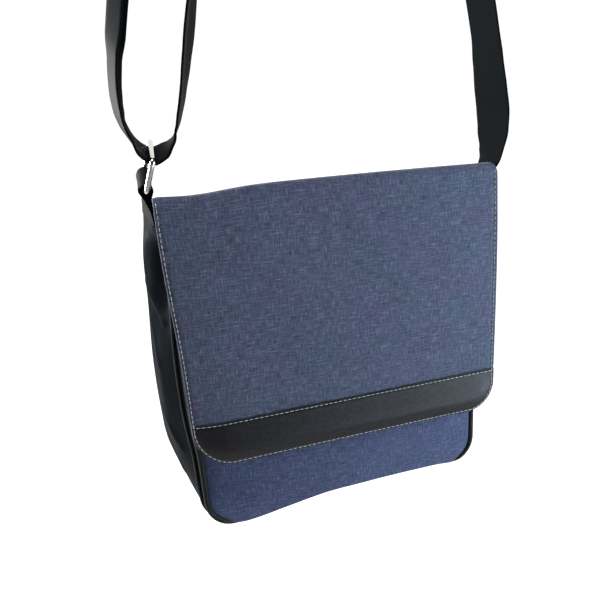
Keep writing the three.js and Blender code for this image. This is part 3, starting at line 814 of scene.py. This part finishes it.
def flap_rows(cloth):
    """Depth, height and ends of the flap's rows, from the rear hem over the folds to the lower edge."""
    half = FLAP_TOP_HALF
    fold_drop = FLAP_FOLD + cloth / 2
    rear_drop = fold_drop + ROOF_FALL
    rear = rear_depth(rear_drop, cloth) - FLAP_FOLD
    front = cloth / 2 + FLAP_FOLD
    rows = []
    for drop in np.linspace(FLAP_HEM, rear_drop, FLAP_ROWS["rear"], endpoint=False):
        rows.append((rear_depth(drop, cloth), -drop, -half, half))
    for angle in np.linspace(0, math.pi / 2, FLAP_ROWS["fold"]):
        y = rear + FLAP_FOLD * math.cos(angle)
        rows.append((y, FLAP_FOLD * math.sin(angle) - rear_drop, -half, half))
    for share in np.linspace(0, 1, FLAP_ROWS["roof"])[1:-1]:
        rows.append((lerp(rear, front, share), FLAP_FOLD - lerp(rear_drop, fold_drop, share), -half, half))
    for share in np.linspace(0, 1, FLAP_ROWS["fold"]):
        angle = share * math.pi / 2
        left = lerp(-half, flap_edge("left", fold_drop), smoothstep(share, 0, LEFT_FLARE))
        right = lerp(half, flap_edge("right", fold_drop), share)
        y = front - FLAP_FOLD * math.sin(angle)
        rows.append((y, FLAP_FOLD * math.cos(angle) - fold_drop, left, right))
    for drop in front_drops(fold_drop, FLAP_ROWS["front"])[1:]:
        rows.append((cloth / 2, -drop, flap_edge("left", drop), flap_edge("right", drop)))
    return np.array(rows, float).T


def flap_face(sizes):
    """Grid of the flap, its cloth coordinates and the relief of its hem and seam."""
    grid = flap_points(*flap_rows(sizes.cloth / MM))
    x, drop = grid[..., 0], -grid[..., 2]
    uv = cloth_map(x, -lengths_along(grid[:, grid.shape[1] // 2])[:, None])
    distance = edge_distance(grid)
    on_front = smoothstep(drop, *FRONT_START) * (grid[..., 1] < FLAP_FOLD)
    calm = smoothstep(distance, 0, CALM_EDGE) * on_front
    wave = waves(x, -drop, *WAVE_LENGTHS["flap"], sizes.seed + 2)
    turned = turned_back(x, drop, distance, sizes.roll / MM)
    grid[..., 1] += turned * on_front - sizes.wave / MM * wave * calm
    rise = HEM["rise"] * (1 - smoothstep(distance, *HEM["end"]))
    into = distance - np.where(x > 0, sizes.right_inset, sizes.left_inset) / MM
    width = np.where(into > 0, FURROW["inner"], FURROW["outer"])
    furrow = FURROW["depth"] * np.exp(-((into / width) ** 2))
    bare = 1 - smoothstep(drop - BAND_TOP, *HEM_ABOVE_BAND)
    return grid, uv, sizes.hem / MM * (rise - furrow) * bare * on_front


def band_face(sizes):
    """Grid of the band and the relief of its crown and its seams."""
    drops = front_drops(BAND_TOP, FLAP_ROWS["band"])
    depth = np.full(len(drops), -BAND_GAP - sizes.band_cloth / MM / 2)
    grid = flap_points(depth, -drops, flap_edge("left", drops), flap_edge("right", drops))
    x, drop = grid[..., 0], -grid[..., 2]
    distance = edge_distance(grid)
    from_top = drop - BAND_TOP
    grid[..., 1] += turned_back(x, drop, distance, sizes.roll / MM)
    into = np.minimum(distance, from_top) - sizes.stitch_inset / MM
    furrow = BAND_FURROW["depth"] * np.exp(-((into / BAND_FURROW["width"]) ** 2))
    crown = smoothstep(distance, BAND_CROWN["start"], BAND_CROWN["edge_share"] * BAND_HEIGHT)
    crown = crown * smoothstep(from_top, 0, BAND_CROWN["top_share"] * BAND_HEIGHT)
    return grid, BAND_CROWN["height"] * crown - furrow


class SATCHEL_OT_flap(bpy.types.Operator):
    """Build the flap and the band along its lower edge"""

    bl_idname = "satchel.flap"
    bl_label = "Flap"
    bl_options = {"REGISTER", "UNDO"}

    def execute(self, context):
        sizes = context.scene.satchel_sizes
        grid, uv, relief = flap_face(sizes)
        flap = thick_sheet("flap_cloth", grid, uv, sizes.cloth / MM, blue_cloth("pale"), relief)
        hand_in(flap, "blue_cloth", "flap")
        grid, relief = band_face(sizes)
        band = thick_sheet("flap_band_leatherette", grid, grid[..., [0, 2]], sizes.band_cloth / MM,
                           leatherette(), relief)
        hand_in(band, "black_leatherette", "flap_band")
        return {"FINISHED"}


# Stitching

def stitch_depth(drop):
    """Depth of the stitches, on the cloth and lower down on the band."""
    climb = smoothstep(drop - BAND_TOP, *STITCH_CLIMB)
    return lerp(STITCH_DEPTH["cloth"], STITCH_DEPTH["band"], climb)


def outline_path(sizes):
    """Line inside the flap's outline, down the left edge, along the bottom and up the right edge."""
    lines = []
    for side, upper in (("left", sizes.left_inset), ("right", sizes.right_inset)):
        radius, sign = FLAP_CORNER[side], EDGE_SIGN[side]
        level = FLAP_DROP - radius
        drop = np.linspace(FLAP_FOLD + STITCH_START, level, STITCH_STEPS["side"])
        angle = np.linspace(0, math.pi / 2, STITCH_STEPS["corner"])[1:]
        share = np.concatenate([np.zeros(len(drop)), np.linspace(0, 1, len(angle))])
        inset = lerp(upper, sizes.stitch_inset, share) / MM
        reach = radius - inset[len(drop):]
        edge = table_value(FLAP_EDGES, EDGE_COLUMN[side], drop)
        corner = edge[-1] - sign * (radius - reach * np.cos(angle))
        x = np.concatenate([edge - sign * inset[:len(drop)], corner])
        drop = np.concatenate([drop, level + reach * np.sin(angle)])
        depth = turned_back(x, drop, inset, sizes.roll / MM) * smoothstep(drop, *FRONT_START)
        depth = depth + stitch_depth(drop)
        if side == "left":
            depth += LEFT_SINK["depth"] * (1 - smoothstep(drop, level - LEFT_SINK["fade"], level))
        line = np.stack([x, depth, -drop], axis=1)
        lines.append(line if side == "left" else line[::-1])
    return np.concatenate(lines)


def seam_path(sizes):
    """Line along the band's upper edge, short of the outline's line at both ends."""
    inset = sizes.stitch_inset / MM
    drop = BAND_TOP + inset
    left, right = (flap_edge(side, drop) - EDGE_SIGN[side] * (inset + SEAM_END) for side in EDGE_SIGN)
    x = np.linspace(left, right, STITCH_STEPS["band"])
    depth = turned_back(x, drop, BAND_HEIGHT, sizes.roll / MM) + STITCH_DEPTH["band"]
    return np.stack([x, depth, np.full(len(x), -drop)], axis=1)


def stitch_tree():
    """Nodes that lay stitches along the edges of a mesh."""
    tree = bpy.data.node_groups.new("stitch_row", "GeometryNodeTree")
    tree.interface.new_socket("Path", in_out="INPUT", socket_type="NodeSocketGeometry")
    for label in ("Pitch", "Length", "Thread"):
        tree.interface.new_socket(label, in_out="INPUT", socket_type="NodeSocketFloat")
    tree.interface.new_socket("Thread Material", in_out="INPUT", socket_type="NodeSocketMaterial")
    tree.interface.new_socket("Stitches", in_out="OUTPUT", socket_type="NodeSocketGeometry")
    start = add(tree, "NodeGroupInput")
    curve = add(tree, "GeometryNodeMeshToCurve", {"Mesh": start.outputs["Path"]})
    spots = add(tree, "GeometryNodeCurveToPoints",
                {"Curve": curve.outputs[0], "Length": start.outputs["Pitch"]}, mode="LENGTH")
    ball = add(tree, "GeometryNodeMeshUVSphere", {**STITCH_BALL, "Radius": 0.5})
    size = add(tree, "ShaderNodeCombineXYZ", {
        "X": start.outputs["Thread"], "Y": start.outputs["Thread"], "Z": start.outputs["Length"]})
    laid = add(tree, "GeometryNodeInstanceOnPoints", {
        "Points": spots.outputs["Points"], "Instance": ball.outputs["Mesh"],
        "Rotation": spots.outputs["Rotation"], "Scale": size.outputs[0]})
    real = add(tree, "GeometryNodeRealizeInstances", {"Geometry": laid.outputs[0]})
    dressed = add(tree, "GeometryNodeSetMaterial", {
        "Geometry": real.outputs[0], "Material": start.outputs["Thread Material"]})
    add(tree, "NodeGroupOutput", {"Stitches": dressed.outputs[0]})
    return tree


def stitch_row(name, lines, material):
    """Plain mesh of stitches along lines in the bag frame."""
    sizes = bpy.context.scene.satchel_sizes
    points, edges = [], []
    for line in lines:
        start = len(points)
        points += to_frame(line).tolist()
        edges += [(k, k + 1) for k in range(start, len(points) - 1)]
    path = bpy.data.meshes.new(name + "_path")
    path.from_pydata(points, edges, [])
    holder = bpy.data.objects.new(name + "_path", path)
    bpy.context.scene.collection.objects.link(holder)
    modifier = holder.modifiers.new("stitches", "NODES")
    tree = stitch_tree()
    modifier.node_group = tree
    values = {"Pitch": sizes.stitch_pitch, "Length": sizes.stitch_length,
              "Thread": sizes.thread, "Thread Material": material}
    for item in tree.interface.items_tree:
        if item.in_out == "INPUT" and item.name in values:
            modifier[item.identifier] = values[item.name]
    graph = bpy.context.evaluated_depsgraph_get()
    mesh = bpy.data.meshes.new_from_object(holder.evaluated_get(graph))
    bpy.data.objects.remove(holder)
    bpy.data.meshes.remove(path)
    if len(mesh.polygons) == 0:
        raise RuntimeError(f"{name}: the nodes laid no stitches")
    mesh.name = name
    mesh.shade_smooth()
    piece = bpy.data.objects.new(name, mesh)
    bpy.context.scene.collection.objects.link(piece)
    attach(piece, "root")
    return piece


class SATCHEL_OT_stitching(bpy.types.Operator):
    """Lay the cream stitching round the flap and along the band"""

    bl_idname = "satchel.stitching"
    bl_label = "Stitching"
    bl_options = {"REGISTER", "UNDO"}

    def execute(self, context):
        sizes = context.scene.satchel_sizes
        stitch_row("flap_stitching", [outline_path(sizes), seam_path(sizes)], thread())
        return {"FINISHED"}


# Strap, ring, tab and keeper

def widthwise(turn, tilt):
    """Direction across a band, front to back: swung in plan by turn and raised at the back by tilt."""
    swing, rise = np.radians(turn), np.radians(tilt)
    level = np.cos(rise)
    return np.stack([-np.sin(swing) * level, np.cos(swing) * level, np.sin(rise)], axis=-1)


def smooth_path(points, steps):
    """Centripetal curve through points, in equal steps from one point to the next."""
    ends = [2 * points[0] - points[1], *points, 2 * points[-1] - points[-2]]
    spots = []
    for k in range(len(points) - 1):
        p0, p1, p2, p3 = ends[k:k + 4]
        d0, d1, d2 = (math.sqrt(np.linalg.norm(b - a)) for a, b in ((p0, p1), (p1, p2), (p2, p3)))
        t1 = ((p1 - p0) / d0 - (p2 - p0) / (d0 + d1) + (p2 - p1) / d1) * d1
        t2 = ((p2 - p1) / d1 - (p3 - p1) / (d1 + d2) + (p3 - p2) / d2) * d1
        for step in range(steps):
            t = step / steps
            cubic = (2 * p1 - 2 * p2 + t1 + t2) * t ** 3 + (-3 * p1 + 3 * p2 - 2 * t1 - t2) * t ** 2
            spots.append(cubic + t1 * t + p1)
    spots.append(points[-1])
    return np.array(spots)


def ribbon(name, path, width, thickness, material):
    """Flat band that follows a path table, and its length."""
    centre = smooth_path(path[:, :3].astype(float), RIBBON_STEPS)
    tangent = unit(np.gradient(centre, axis=0))
    at = np.arange(len(centre)) / RIBBON_STEPS
    low = np.minimum(at.astype(int), len(path) - 1)
    high = np.minimum(low + 1, len(path) - 1)
    share = smoothstep(at - low, 0, 1)
    turn, tilt, cup = (lerp(path[low, k], path[high, k], share) for k in PATH_COLUMN.values())
    across = widthwise(turn, tilt)
    across = unit(across - tangent * np.sum(across * tangent, axis=1, keepdims=True))
    outward = np.cross(tangent, across)
    # The crease draws the edges together as much as an arc of its depth would.
    chord = width - 8 * cup ** 2 / (3 * width)
    side = np.linspace(-1, 1, RIBBON_COLUMNS + 1)
    reach = (side[None] * chord[:, None] / 2)[..., None]
    crease = (np.hypot(side, CREASE_ROUND) - CREASE_ROUND) / (math.hypot(1, CREASE_ROUND) - CREASE_ROUND)
    rise = (cup[:, None] * (0.5 - crease[None]))[..., None]
    grid = centre[:, None] + across[:, None] * reach + outward[:, None] * rise
    length = lengths_along(centre)
    uv = cloth_map(length[:, None], side[None] * width / 2)
    return thick_sheet(name, grid, uv, thickness, material), length[-1] * MM


class SATCHEL_OT_strap(bpy.types.Operator):
    """Build the shoulder strap and the tab that holds its ring"""

    bl_idname = "satchel.strap"
    bl_label = "Strap"
    bl_options = {"REGISTER", "UNDO"}

    def execute(self, context):
        sizes = context.scene.satchel_sizes
        strap, length = ribbon(
            "shoulder_strap_webbing", STRAP_PATH, STRAP_WIDTH, sizes.webbing / MM, webbing())
        hand_in(strap, "black_webbing", "shoulder_strap")
        tab, tab_length = ribbon("ring_tab_webbing", TAB_PATH, TAB_WIDTH, TAB_CLOTH, webbing())
        hand_in(tab, "black_webbing", "ring_tab")
        return {"FINISHED"}


def ring_points():
    """Middle line of the ring's wire, and the direction out of its plane."""
    along = widthwise(RING_SET["turn"], RING_SET["tilt"])
    lean = math.radians(RING_SET["lean"])
    down = np.array((-math.sin(lean), 0, -math.cos(lean)))
    down = unit(down - along * np.dot(along, down))
    centre = TAB_BAR - down * RING["half_height"]
    loop = rounded_rectangle(RING["half_width"], RING["half_height"], RING["corner"], CORNER_STEPS["ring"])
    return centre + loop[:, :1] * along + loop[:, 1:] * down, np.cross(along, down)


class SATCHEL_OT_metal(bpy.types.Operator):
    """Build the ring and the strap's keeper"""

    bl_idname = "satchel.metal"
    bl_label = "Metal"
    bl_options = {"REGISTER", "UNDO"}

    def execute(self, context):
        metal = nickel()
        strap = context.scene.satchel_sizes.webbing / MM
        loop, normal = ring_points()
        ring = sweep("ring_wire", loop, normal, circle(RING["wire"], WIRE_SIDES), 1.0, True, metal)
        hand_in(ring, "nickel", "ring")
        half_x = (LAYER_STEP + strap) / 2 + KEEPER["play"] + KEEPER["bar"] / 2
        half_y = (STRAP_WIDTH + KEEPER["bar"]) / 2 + KEEPER["play"]
        path = rounded_rectangle(half_x, half_y, KEEPER["corner"], CORNER_STEPS["keeper"])
        lean = math.radians(KEEPER["lean"])
        side = np.array((math.cos(lean), 0, -math.sin(lean)))
        up = np.array((math.sin(lean), 0, math.cos(lean)))
        centre = np.array((KEEPER["x"], STRAP_DEPTH, KEEPER["z"])) - side * LAYER_STEP / 2
        points = centre + path[:, :1] * side + path[:, 1:] * np.array((0, 1, 0))
        bar = rounded_rectangle(
            KEEPER["height"] / 2, KEEPER["bar"] / 2, KEEPER["edge"], CORNER_STEPS["bar"])
        keeper = sweep("strap_keeper_frame", points, up, bar, 1.0, True, metal)
        hand_in(keeper, "nickel", "strap_keeper")
        return {"FINISHED"}


# Materials

def fill(tree, node, inputs):
    """Links a node's inputs to sockets and sets the others to plain values."""
    for socket, value in inputs.items():
        if isinstance(value, bpy.types.NodeSocket):
            tree.links.new(value, node.inputs[socket])
        else:
            node.inputs[socket].default_value = value


def add(tree, kind, inputs=None, **settings):
    """New node with its settings, its values and its links."""
    node = tree.nodes.new(kind)
    for key, value in settings.items():
        setattr(node, key, value)
    fill(tree, node, inputs or {})
    return node


def kept(name):
    """Marks a function that dresses a material, which is made once and then found by its name."""
    def mark(dress):
        @functools.wraps(dress)
        def material(*words):
            full_name = name.format(*words)
            made = bpy.data.materials.get(full_name)
            if made is None:
                made = bpy.data.materials.new(full_name)
                made.use_nodes = True
                dress(made.node_tree, made.node_tree.nodes["Principled BSDF"], *words)
            return made
        return material
    return mark


def chosen(name):
    """Colour from the user's settings."""
    return tuple(getattr(bpy.context.scene.satchel_colours, name))


def streaks(tree, size, detail):
    """Soft marks on the cloth, of a real size in millimetres along its two directions."""
    uv = add(tree, "ShaderNodeUVMap", uv_map="cloth")
    scale = (1 / (size[0] * MM), 1 / (size[1] * MM), 1)
    mapped = add(tree, "ShaderNodeMapping", {"Vector": uv.outputs["UV"], "Scale": scale})
    noise = add(tree, "ShaderNodeTexNoise", {
        "Vector": mapped.outputs["Vector"], "Scale": 1.0, "Detail": detail, "Roughness": 0.6})
    return noise.outputs["Fac"]


def wave_scale(spacing):
    """Scale at which straight bands of the wave texture lie a spacing apart, in millimetres."""
    # The texture turns by 20 radians for each unit of its scaled coordinates.
    return 2 * math.pi / (20 * spacing * MM)


@kept("{}_blue_melange_polyester")
def blue_cloth(tree, shader, shade):
    """Melange polyester woven from slubby two-tone yarn: a matt, heathered blue, pale or deep."""
    # Yarns are about half a millimetre; they are drawn over twice as coarse so that they show in the frame.
    weft = streaks(tree, (10, 1.3), 2.0)
    warp = streaks(tree, (1.3, 8), 2.0)
    cross = add(tree, "ShaderNodeMath", {0: weft, 1: warp}, operation="ADD")
    slub = add(tree, "ShaderNodeMath", {0: weft, 1: warp}, operation="MAXIMUM")
    cloud = streaks(tree, (20, 25), 1.0)
    clouded = add(tree, "ShaderNodeMath", {0: cloud, 1: 0.2, 2: cross.outputs[0]}, operation="MULTIPLY_ADD")
    drift = streaks(tree, (50, 40), 2.0)
    spread = add(tree, "ShaderNodeMapRange", {"Value": drift, "From Min": 0.35, "From Max": 0.65})
    hue = add(tree, "ShaderNodeMix", {
        "Factor": spread.outputs["Result"], "A": chosen(f"{shade}_violet"), "B": chosen(f"{shade}_teal")},
        data_type="RGBA")
    tone = add(tree, "ShaderNodeMapRange", {
        "Value": clouded.outputs[0], "From Min": 0.7, "From Max": 1.35, "To Min": 0.35, "To Max": 1.25})
    toned = add(tree, "ShaderNodeMix", {
        "Factor": 1.0, "A": hue.outputs["Result"], "B": tone.outputs["Result"]},
        data_type="RGBA", blend_type="MULTIPLY")
    pale = add(tree, "ShaderNodeMapRange", {
        "Value": slub.outputs[0], "From Min": 0.6, "From Max": 0.85, "To Max": 0.6})
    colour = add(tree, "ShaderNodeMix", {
        "Factor": pale.outputs["Result"], "A": toned.outputs["Result"], "B": chosen("slub")},
        data_type="RGBA")
    bump = add(tree, "ShaderNodeBump", {"Height": cross.outputs[0], "Strength": 0.35, "Distance": 0.0004})
    fill(tree, shader, {
        "Base Color": colour.outputs["Result"], "Normal": bump.outputs["Normal"], "Roughness": 0.88,
        "Sheen Weight": 0.2, "Sheen Roughness": 0.5, "Specular IOR Level": 0.25})


@kept("black_coated_nylon")
def coated_cloth(tree, shader):
    """Thin nylon with a coated face: near black with a soft grey shine where it turns to the light."""
    crush = streaks(tree, (30, 50), 2.0)
    # Threads are about a quarter of a millimetre; they are drawn coarser so that they show in the frame.
    grain = streaks(tree, (1.2, 1.2), 1.0)
    soft = add(tree, "ShaderNodeBump", {"Height": crush, "Strength": 0.3, "Distance": 0.004})
    fine = add(tree, "ShaderNodeBump", {
        "Height": grain, "Strength": 0.2, "Distance": 0.0003, "Normal": soft.outputs["Normal"]})
    fill(tree, shader, {
        "Base Color": chosen("side_cloth"), "Normal": fine.outputs["Normal"], "Roughness": 0.48,
        "Specular IOR Level": 0.012})


@kept("grained_leatherette")
def leatherette(tree, shader):
    """Leatherette with an embossed grain: charcoal with a broad dull shine, faintly violet."""
    uv = add(tree, "ShaderNodeUVMap", uv_map="cloth")
    # Grain is about half a millimetre; it is drawn over twice as coarse so that it shows in the frame.
    grain = add(tree, "ShaderNodeTexVoronoi", {"Vector": uv.outputs["UV"], "Scale": 1 / (1.2 * MM)})
    wear = streaks(tree, (6, 3), 3.0)
    shine = add(tree, "ShaderNodeMapRange", {
        "Value": wear, "From Min": 0.3, "From Max": 0.7, "To Min": 0.33, "To Max": 0.47})
    bump = add(tree, "ShaderNodeBump", {
        "Height": grain.outputs["Distance"], "Strength": 0.25, "Distance": 0.0003})
    fill(tree, shader, {
        "Base Color": chosen("band"), "Normal": bump.outputs["Normal"], "Roughness": 0.4,
        "Specular IOR Level": shine.outputs["Result"], "Specular Tint": linear("#fff3ff")})


@kept("woven_edge_tape")
def edge_tape(tree, shader):
    """Thin woven tape folded over a seam: near black with a faint streaky shine."""
    # Ribs are about half a millimetre; they are drawn a little coarser so that they show in the frame.
    streak = streaks(tree, (12, 0.8), 2.0)
    bump = add(tree, "ShaderNodeBump", {"Height": streak, "Strength": 0.8, "Distance": 0.001})
    fill(tree, shader, {
        "Base Color": chosen("tape"), "Normal": bump.outputs["Normal"], "Roughness": 0.5,
        "Specular IOR Level": 0.25})


@kept("ribbed_nylon_webbing")
def webbing(tree, shader):
    """Woven nylon webbing: fine ribs across the width and a dull near-black colour."""
    uv = add(tree, "ShaderNodeUVMap", uv_map="cloth")
    ribs = add(tree, "ShaderNodeTexWave", {
        "Vector": uv.outputs["UV"], "Scale": wave_scale(1.6), "Distortion": 0.4, "Detail": 1.0},
        bands_direction="X")
    bump = add(tree, "ShaderNodeBump", {"Height": ribs.outputs["Fac"], "Strength": 0.14, "Distance": 0.0003})
    fill(tree, shader, {
        "Base Color": chosen("webbing"), "Normal": bump.outputs["Normal"], "Roughness": 0.65,
        "Specular IOR Level": 0.025})


@kept("nickel_plated_steel")
def nickel(tree, shader):
    """Polished nickel plate: pale and mirror-like, with a slight blur that comes and goes."""
    spot = add(tree, "ShaderNodeTexCoord")
    haze = add(tree, "ShaderNodeTexNoise", {
        "Vector": spot.outputs["Object"], "Scale": 1 / (3 * MM), "Detail": 3.0})
    blur = add(tree, "ShaderNodeMapRange", {
        "Value": haze.outputs["Fac"], "From Min": 0.3, "From Max": 0.7, "To Min": 0.06, "To Max": 0.14})
    fill(tree, shader, {
        "Base Color": chosen("nickel"), "Metallic": 1.0, "Roughness": blur.outputs["Result"]})


@kept("cream_polyester_thread")
def thread(tree, shader):
    """Thick twisted polyester thread: pale cream, with the slant of its plies; the grooves between plies get
    painted shade as darker bands.
    """
    spot = add(tree, "ShaderNodeTexCoord")
    # Diagonal bands lie 1.15 times as far apart as straight ones, so the plies are 1.3 mm apart.
    plies = add(tree, "ShaderNodeTexWave", {
        "Vector": spot.outputs["Object"], "Scale": wave_scale(1.1)}, bands_direction="DIAGONAL")
    # Painted shade: the colour darkens in bands along the grooves between the plies.
    colour = add(tree, "ShaderNodeMix", {
        "Factor": plies.outputs["Fac"], "A": chosen("thread_dark"), "B": chosen("thread_pale")},
        data_type="RGBA")
    bump = add(tree, "ShaderNodeBump", {"Height": plies.outputs["Fac"], "Strength": 0.2, "Distance": 0.0002})
    fill(tree, shader, {
        "Base Color": colour.outputs["Result"], "Normal": bump.outputs["Normal"], "Roughness": 0.7})


@kept("pale_floor_paint")
def floor_paint(tree, shader):
    """Matt paint that glows behind the bag, where the floor runs into the white surround."""
    light = bpy.context.scene.satchel_light
    spot = add(tree, "ShaderNodeTexCoord")
    depth = add(tree, "ShaderNodeSeparateXYZ", {"Vector": spot.outputs["Object"]})
    lit = add(tree, "ShaderNodeMapRange", {
        "Value": depth.outputs["Y"], "From Min": FLOOR_GLOW[0], "From Max": FLOOR_GLOW[1],
        "To Min": light.front, "To Max": light.floor})
    fill(tree, shader, {
        "Base Color": chosen("floor"), "Roughness": 0.9, "Specular IOR Level": 0.0,
        "Emission Color": linear("#ffffff"), "Emission Strength": lit.outputs["Result"]})


# Stage, in metres in the part's frame

CAMERA_PLACE = (-0.1752, -0.48756, -0.37775)
CAMERA_RIGHT = (0.9496, -0.3056, -0.0697)
CAMERA_UP = (0.1542, 0.2622, 0.9526)
CAMERA_BACK = (-0.2728, -0.9154, 0.2961)
CAMERA_LENS = 36.36
CAMERA_SENSOR = 36
CAMERA_SHIFT = (-0.01, 0.03)
CAMERA_NEAR = 0.01
# Heading of the white surround, and the cosines to it between which the surround brightens
BACKDROP_FACING = (0.104, 0.989, 0.104)
BACKDROP_EDGE = (-0.2, 0.8)
FLOOR_HEIGHT = -1.25
FLOOR_HALF = 12.0
# Depths between which the floor brightens
FLOOR_GLOW = (-0.4, 0.42)
WHITE = (1.0, 1.0, 1.0)
COOL = (0.77, 1.0, 1.06)
# Place of each light, the point that it faces, its width and height, and its tint
LIGHTS = {
    "key": ((0.5, -0.35, -0.52), (0.1, 0, -0.55), (0.3, 0.55), COOL),
    "low": ((0.48, -0.5, -0.93), (0.05, 0, -0.62), (0.8, 0.2), COOL),
    "side": ((-0.43, 0.19, -0.33), (-0.155, 0.02, -0.38), (0.22, 0.22), WHITE),
    "top": ((-0.25, -0.32, 0.35), (0, 0, -0.53), (0.4, 0.4), WHITE),
}


def make_floor(scene):
    """Wide floor far below the bag."""
    half = FLOOR_HALF
    corners = [(-half, -half), (half, -half), (half, half), (-half, half)]
    mesh = bpy.data.meshes.new("floor")
    mesh.from_pydata([(x, y, FLOOR_HEIGHT) for x, y in corners], [], [(0, 1, 2, 3)])
    mesh.materials.append(floor_paint())
    floor = bpy.data.objects.new("floor", mesh)
    scene.collection.objects.link(floor)


def make_surround(scene):
    """Surround that is white behind the bag and dim in front of it."""
    light = scene.satchel_light
    world = bpy.data.worlds.new("white_surround")
    world.use_nodes = True
    tree = world.node_tree
    heading = add(tree, "ShaderNodeTexCoord")
    facing = add(tree, "ShaderNodeVectorMath", {
        0: heading.outputs["Generated"], 1: BACKDROP_FACING}, operation="DOT_PRODUCT")
    glow = add(tree, "ShaderNodeMapRange", {
        "Value": facing.outputs["Value"], "From Min": BACKDROP_EDGE[0], "From Max": BACKDROP_EDGE[1],
        "To Min": light.front, "To Max": light.sky}, interpolation_type="SMOOTHSTEP")
    fill(tree, tree.nodes["Background"], {"Color": linear("#ffffff"), "Strength": glow.outputs["Result"]})
    scene.world = world
    scene.view_settings.view_transform = "Standard"


def make_light(scene, name, place, target, size, tint):
    """Soft oblong light that faces a point."""
    data = bpy.data.lights.new(f"{name}_light", "AREA")
    data.shape = "RECTANGLE"
    data.size, data.size_y = size
    data.energy = getattr(scene.satchel_light, name)
    data.color = tint
    light = bpy.data.objects.new(f"{name}_light", data)
    back = unit(np.array(place, float) - np.array(target, float))
    right = unit(np.cross((0, 0, 1), back))
    turn = Matrix((right, np.cross(back, right), back)).transposed()
    light.matrix_world = Matrix.Translation(place) @ turn.to_4x4()
    scene.collection.objects.link(light)


def make_camera(scene):
    """Camera at the photograph's point of view."""
    lens = bpy.data.cameras.new("camera")
    lens.sensor_width = CAMERA_SENSOR
    lens.lens = CAMERA_LENS
    lens.shift_x, lens.shift_y = CAMERA_SHIFT
    lens.clip_start = CAMERA_NEAR
    camera = bpy.data.objects.new("camera", lens)
    turn = Matrix((CAMERA_RIGHT, CAMERA_UP, CAMERA_BACK)).transposed()
    camera.matrix_world = Matrix.Translation(CAMERA_PLACE) @ turn.to_4x4()
    scene.collection.objects.link(camera)
    scene.camera = camera


class SATCHEL_OT_stage(bpy.types.Operator):
    """Set the floor, the surround, the lights and the camera"""

    bl_idname = "satchel.stage"
    bl_label = "Stage"
    bl_options = {"REGISTER", "UNDO"}

    def execute(self, context):
        make_floor(context.scene)
        make_surround(context.scene)
        for name, setting in LIGHTS.items():
            make_light(context.scene, name, *setting)
        make_camera(context.scene)
        return {"FINISHED"}


class SATCHEL_PT_sidebar(bpy.types.Panel):
    """Sizes, colours, lights and build steps of the satchel"""

    bl_idname = "SATCHEL_PT_sidebar"
    bl_label = "Flap Satchel"
    bl_space_type = "VIEW_3D"
    bl_region_type = "UI"
    bl_category = "Satchel"

    def draw(self, context):
        scene = context.scene
        for group in (scene.satchel_sizes, scene.satchel_colours, scene.satchel_light):
            box = self.layout.box()
            for name in group.__annotations__:
                box.prop(group, name)
        for step in STEPS:
            self.layout.operator(step.bl_idname)


STEPS = (
    SATCHEL_OT_pocket,
    SATCHEL_OT_body,
    SATCHEL_OT_flap,
    SATCHEL_OT_stitching,
    SATCHEL_OT_strap,
    SATCHEL_OT_metal,
    SATCHEL_OT_stage,
)
CLASSES = (SatchelSizes, SatchelColours, SatchelLight, *STEPS, SATCHEL_PT_sidebar)


def register():
    """Adds the classes and the scene's settings."""
    for item in CLASSES:
        bpy.utils.register_class(item)
    bpy.types.Scene.satchel_sizes = PointerProperty(type=SatchelSizes)
    bpy.types.Scene.satchel_colours = PointerProperty(type=SatchelColours)
    bpy.types.Scene.satchel_light = PointerProperty(type=SatchelLight)


def unregister():
    """Takes the settings and the classes away again."""
    del bpy.types.Scene.satchel_light
    del bpy.types.Scene.satchel_colours
    del bpy.types.Scene.satchel_sizes
    for item in reversed(CLASSES):
        bpy.utils.unregister_class(item)


def main():
    """Builds the satchel."""
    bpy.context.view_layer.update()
    register()
    bpy.ops.satchel.pocket()
    bpy.ops.satchel.body()
    bpy.ops.satchel.flap()
    bpy.ops.satchel.stitching()
    bpy.ops.satchel.strap()
    bpy.ops.satchel.metal()
    bpy.ops.satchel.stage()


if __name__ == "__main__":
    main()
